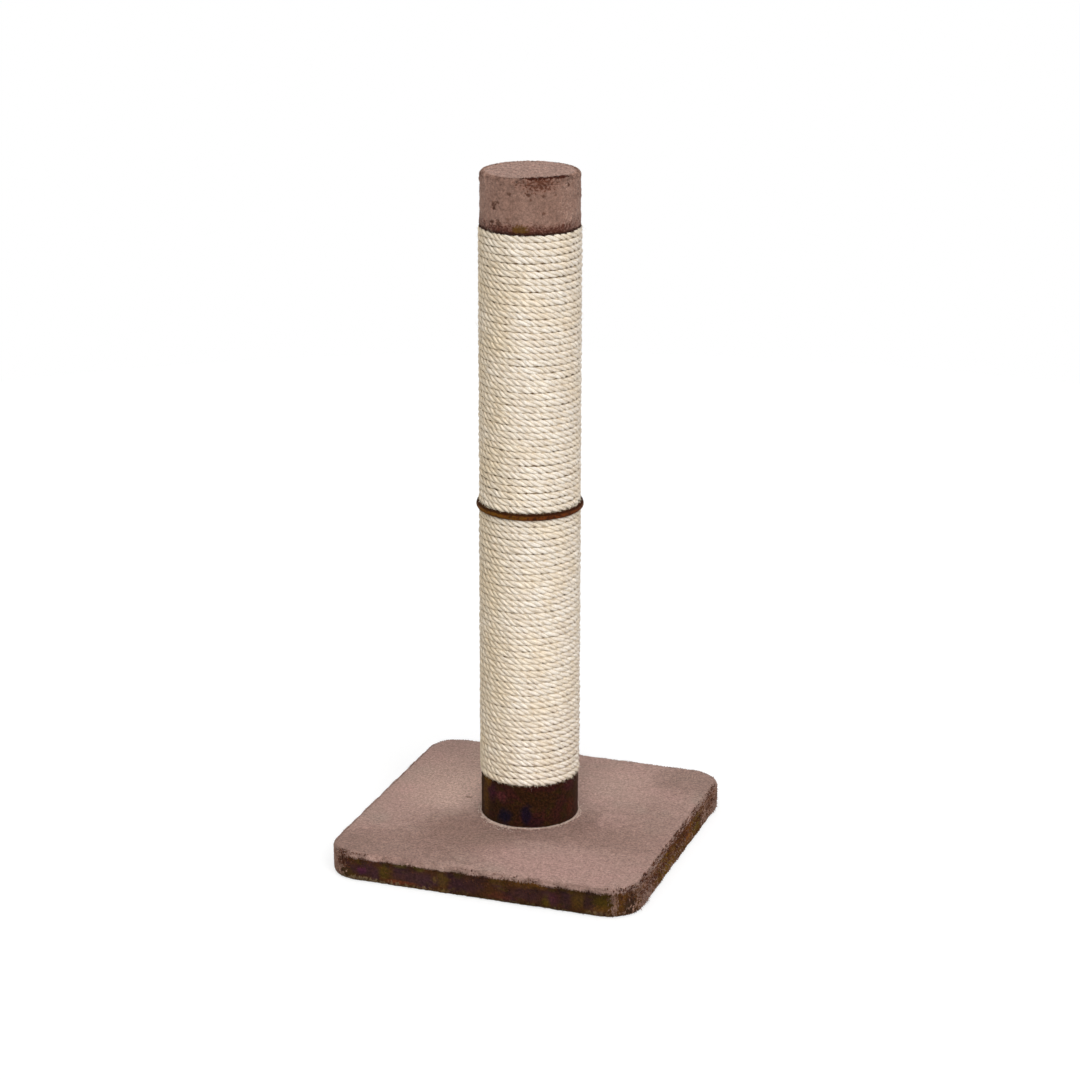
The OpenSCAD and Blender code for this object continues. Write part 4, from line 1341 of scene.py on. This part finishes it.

# %% [markdown]
# ## Sisal
# Sisal is a pale straw colour with long fibres that run along each strand, so the pattern follows the
# strand's own UV map: slow along it and quick across it. The grooves between the strands and the deep parts
# between the turns are painted tan as painted shade, and the post's left and right sides are painted darker
# as painted shade, the left more and more tan.

# %% Sisal finish
def sisal_finish():
    """Straw-coloured strands with fine fibres, with painted shade in the grooves and at the sides."""
    coat = Finish("sisal", 0.7, (231, 218, 201), Specular_IOR_Level=0.3)
    strand, place = coat.uv("strand"), coat.place()
    fibres = coat.noise(coat.stretch(strand, 0.16, 1, 1), 0.9 * MM, 3.0, 0.65)
    yarns = coat.noise(coat.stretch(strand, 0.35, 1, 1), 2.8 * MM)
    length = coat.noise(coat.stretch(strand, 1, 0, 0), 40 * MM)
    bumps = coat.noise(coat.stretch(strand, 1, 2, 1), 13 * MM, 1.0)
    patchy = coat.noise(place, 45 * MM)
    specks = coat.noise(place, 1.9 * MM, 2.0, 0.6)
    aside = coat.aside(place)
    # Painted shade: the post's left side, seen from the front, is made darker and more tan in patches.
    painted_left_shade = coat.times(coat.spread(aside, -8 * MM, -58 * MM), coat.spread(patchy, 0.25, 0.55, 0.6, 1.0))
    across = coat.times(coat.part(strand, 1), STRANDS / (2 * math.pi * ROPE_HALF_H))
    from_groove = coat.maths("ABSOLUTE", coat.minus(coat.maths("FRACT", across), 0.5))
    coat.lay((243, 234, 221), coat.spread(length, 0.38, 0.62))
    coat.lay((236, 219, 193), coat.spread(patchy, 0.45, 0.7, 0.0, 0.55))
    coat.lay((222, 202, 168), coat.times(painted_left_shade, 0.6))
    # Painted shade: the post's right side, seen from the front, is made a little darker.
    coat.lay((224, 202, 184), coat.spread(aside, 25 * MM, 70 * MM, 0.0, 0.14))
    coat.lay((206, 187, 158), coat.spread(yarns, 0.46, 0.34, 0.0, 0.65))
    # Painted shade in the grooves between the strands, darker on the left.
    painted_groove_shade = coat.mixed(painted_left_shade, colour(186, 166, 136), colour(150, 126, 88))
    coat.tone = coat.mixed(coat.spread(from_groove, 0.17, 0.02, 0.0, 0.75), coat.tone, painted_groove_shade)
    # Painted shade: the deep parts between the turns take a tan colour.
    crest = coat.spread(coat.from_middle(place), ROPE_MID_R - 1 * MM, ROPE_OUT - 1.8 * MM)
    coat.tone = coat.mixed(crest, colour(230, 214, 188), coat.tone)
    coat.light(coat.times(coat.level(specks, 0.9, 1.07), coat.level(bumps, 0.93, 1.05)))
    coat.light(coat.level(fibres, 0.88, 1.06))
    return coat.done(coat.plus(fibres, yarns), 0.6 * MM, 0.8)


dress(sisal_finish(), *lower_rope, *upper_rope)


def ring_finish(name, on_tufts=False):
    """Brown cord, golden left, redder right, with dark blots, painted highlights at its ends, painted shadow
    along its top.
    """
    coat = Finish(name, 0.95, (110, 70, 14), (1.0, 0.6, 0.4), Specular_IOR_Level=0.08, Sheen_Weight=0.05)
    place = coat.place()
    fine = coat.noise(place, 1.6 * MM, 3.0, 0.6)
    blots = coat.noise(place, 5 * MM, 2.0, 0.6)
    aside = coat.aside(place)
    side = coat.plus(aside, coat.swing(coat.noise(place, 20 * MM), 0.25))
    coat.lay((98, 48, 15), coat.spread(side, -40 * MM, 30 * MM))
    # Painted highlight towards the cord's left and right ends, as seen from the front.
    painted_end_highlight = coat.plus(coat.maths("ABSOLUTE", aside), coat.times(blots, 12 * MM))
    coat.lay((140, 108, 92), coat.spread(painted_end_highlight, 78 * MM, 86 * MM, 0.0, 0.4))
    coat.lay((46, 18, 6), coat.spread(blots, 0.54, 0.38, 0.0, 0.85))
    coat.lay((50, 22, 8), coat.spread(fine, 0.52, 0.34, 0.0, 0.6))
    # Painted shadow along the upper edge, under the rope.
    upper = coat.plus(coat.minus(coat.part(place, 2), RING_MID_Z), coat.swing(blots, 8 * MM))
    coat.lay((38, 14, 4), coat.spread(upper, 1.5 * MM, 3.5 * MM, 0.0, 0.8))
    if on_tufts:
        coat.light_by_tint()
    return coat.done(fine, 0.8 * MM, 0.8)


dress(ring_finish("brown_cord"), ring)
dress_tufts(ring_finish("brown_cord_tufts", on_tufts=True), "joint_ring_fuzz", "joint_ring_edge_tufts")
print("rope and ring finishes done")

# %% [markdown]
# ## Boards, plugs, tubes and metal
# These are hidden in the finished post, and come into view when it is unscrewed or turned over. The boards
# are pressed from wood chips, the plugs are turned from pine with its rings on the end grain, the tubes are
# wound from strips of brown paper that leave a slanting seam, and the fasteners are zinc-plated steel.

# %% Finishes of the hard pieces
def chipboard_finish():
    """Pressed chips, each with its own shade."""
    coat = Finish("chipboard", 0.75, (196, 163, 118), Specular_IOR_Level=0.3)
    place = coat.place()
    cells = coat.stretch(coat.bent(place, place, 120, 0.008), 1, 1, 3)
    chips = coat.node("TexVoronoi", out=1, Vector=cells, Scale=260, Randomness=1)
    chips = coat.node("SeparateColor", Color=chips)
    dust = coat.noise(place, 1.2 * MM, 3.0, 0.6)
    coat.lay((226, 200, 160), chips)
    coat.lay((150, 112, 70), coat.spread(dust, 0.55, 0.75, 0.0, 0.5))
    return coat.done(coat.plus(chips, dust), 0.4 * MM, 0.5)


def pine_finish():
    """Turned pine: rings round an off-centre heart, and fine rays across them."""
    coat = Finish("turned_pine", 0.6, (222, 190, 140), Specular_IOR_Level=0.35)
    place = coat.place()
    heart = coat.stretch(coat.vector("ADD", place, (0.09, 0.05, 0)), 1, 1, 0.12)
    rings = coat.node("TexWave", {"wave_type": "RINGS", "rings_direction": "Z"}, out=1,
                      Vector=coat.bent(heart, place, 18, 0.012), Scale=42, Distortion=1.5, Detail=2)
    grain = coat.noise(coat.stretch(place, 1, 1, 0.08), 0.7 * MM, 3.0, 0.6)
    coat.lay((184, 138, 86), coat.spread(rings, 0.2, 0.8))
    coat.lay((150, 104, 60), coat.spread(grain, 0.5, 0.75, 0.0, 0.5))
    return coat.done(coat.plus(rings, grain), 0.2 * MM, 0.5)


def kraft_finish():
    """Wound brown paper with a slanting seam and pulp fibres."""
    coat = Finish("kraft_tube", 0.8, (158, 124, 86), Specular_IOR_Level=0.25)
    place = coat.place()
    x, y, z = [coat.part(place, axis) for axis in range(3)]
    turn = coat.maths("DIVIDE", coat.maths("ARCTAN2", y, x), 2 * math.pi)
    strip = coat.maths("FRACT", coat.plus(turn, coat.times(z, 1 / (120 * MM))))
    seam = coat.spread(coat.maths("ABSOLUTE", coat.minus(strip, 0.5)), 0.488, 0.498)
    pulp = coat.noise(coat.stretch(place, 1, 1, 2.5), 2.2 * MM, 4.0, 0.65)
    coat.lay((184, 150, 110), coat.spread(pulp, 0.35, 0.65))
    coat.lay((146, 112, 76), coat.spread(coat.noise(place, 16 * MM, 3.0), 0.4, 0.7, 0.0, 0.5))
    coat.lay((106, 78, 50), coat.times(seam, 0.6))
    return coat.done(coat.minus(pulp, coat.times(seam, 2)), 0.2 * MM, 0.6)


def zinc_finish():
    """Zinc plate: bright, faintly yellow and blue in clouds, and scratched."""
    coat = Finish("zinc_plate", 0.36, (214, 214, 206), Metallic=1.0)
    place = coat.place()
    scratch = coat.noise(coat.stretch(place, 1, 1, 0.1), 0.4 * MM, 3.0, 0.6)
    coat.lay((198, 202, 210), coat.spread(coat.noise(place, 5 * MM), 0.38, 0.62))
    coat.light(coat.level(scratch, 0.88, 1.04))
    coat.tree.links.new(coat.level(scratch, 0.30, 0.46), coat.shader.inputs["Roughness"])
    return coat.done(scratch, 0.05 * MM, 0.5)


def felt_finish():
    """Grey needled felt: short fibres that lie every way."""
    coat = Finish("grey_felt", 0.95, (58, 58, 62), Specular_IOR_Level=0.15, Sheen_Weight=0.15)
    cloth = coat.uv()
    one_way, other_way = [coat.noise(coat.stretch(cloth, *way), 0.9 * MM, 3.0, 0.6)
                          for way in ((0.2, 1, 1), (1, 0.2, 1))]
    both = coat.maths("MAXIMUM", one_way, other_way)
    coat.lay((104, 104, 108), coat.spread(both, 0.4, 0.72))
    coat.light(coat.level(coat.noise(cloth, 22 * MM), 0.88, 1.1))
    return coat.done(both, 0.5 * MM, 0.7)


hard_nodes = [
    (chipboard_finish(), ["base_lower_board", "base_upper_board"]),
    (pine_finish(), ["lower_foot_plug", "lower_head_plug", "upper_foot_plug", "upper_head_plug"]),
    (kraft_finish(), ["lower_tube", "upper_tube"]),
    (zinc_finish(), ["base_board_screws", "base_cover_staples", "base_bolts", "base_washers",
                     "lower_foot_tee_nuts", "lower_foot_plug_nails", "lower_head_tee_nut",
                     "lower_head_plug_nails", "lower_rope_staples", "joint_stud", "upper_foot_tee_nut",
                     "upper_foot_plug_nails", "upper_head_plug_nails", "upper_rope_staples"])]
for finish, names in hard_nodes:
    dress(finish, *[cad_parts[n] for n in names])
dress(felt_finish(), felt)
left_bare = [n for n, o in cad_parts.items() if not o.hide_render and o.data.materials[0] is None]
print("finished nodes:", sum(len(names) for _, names in hard_nodes), "left bare:", left_bare)
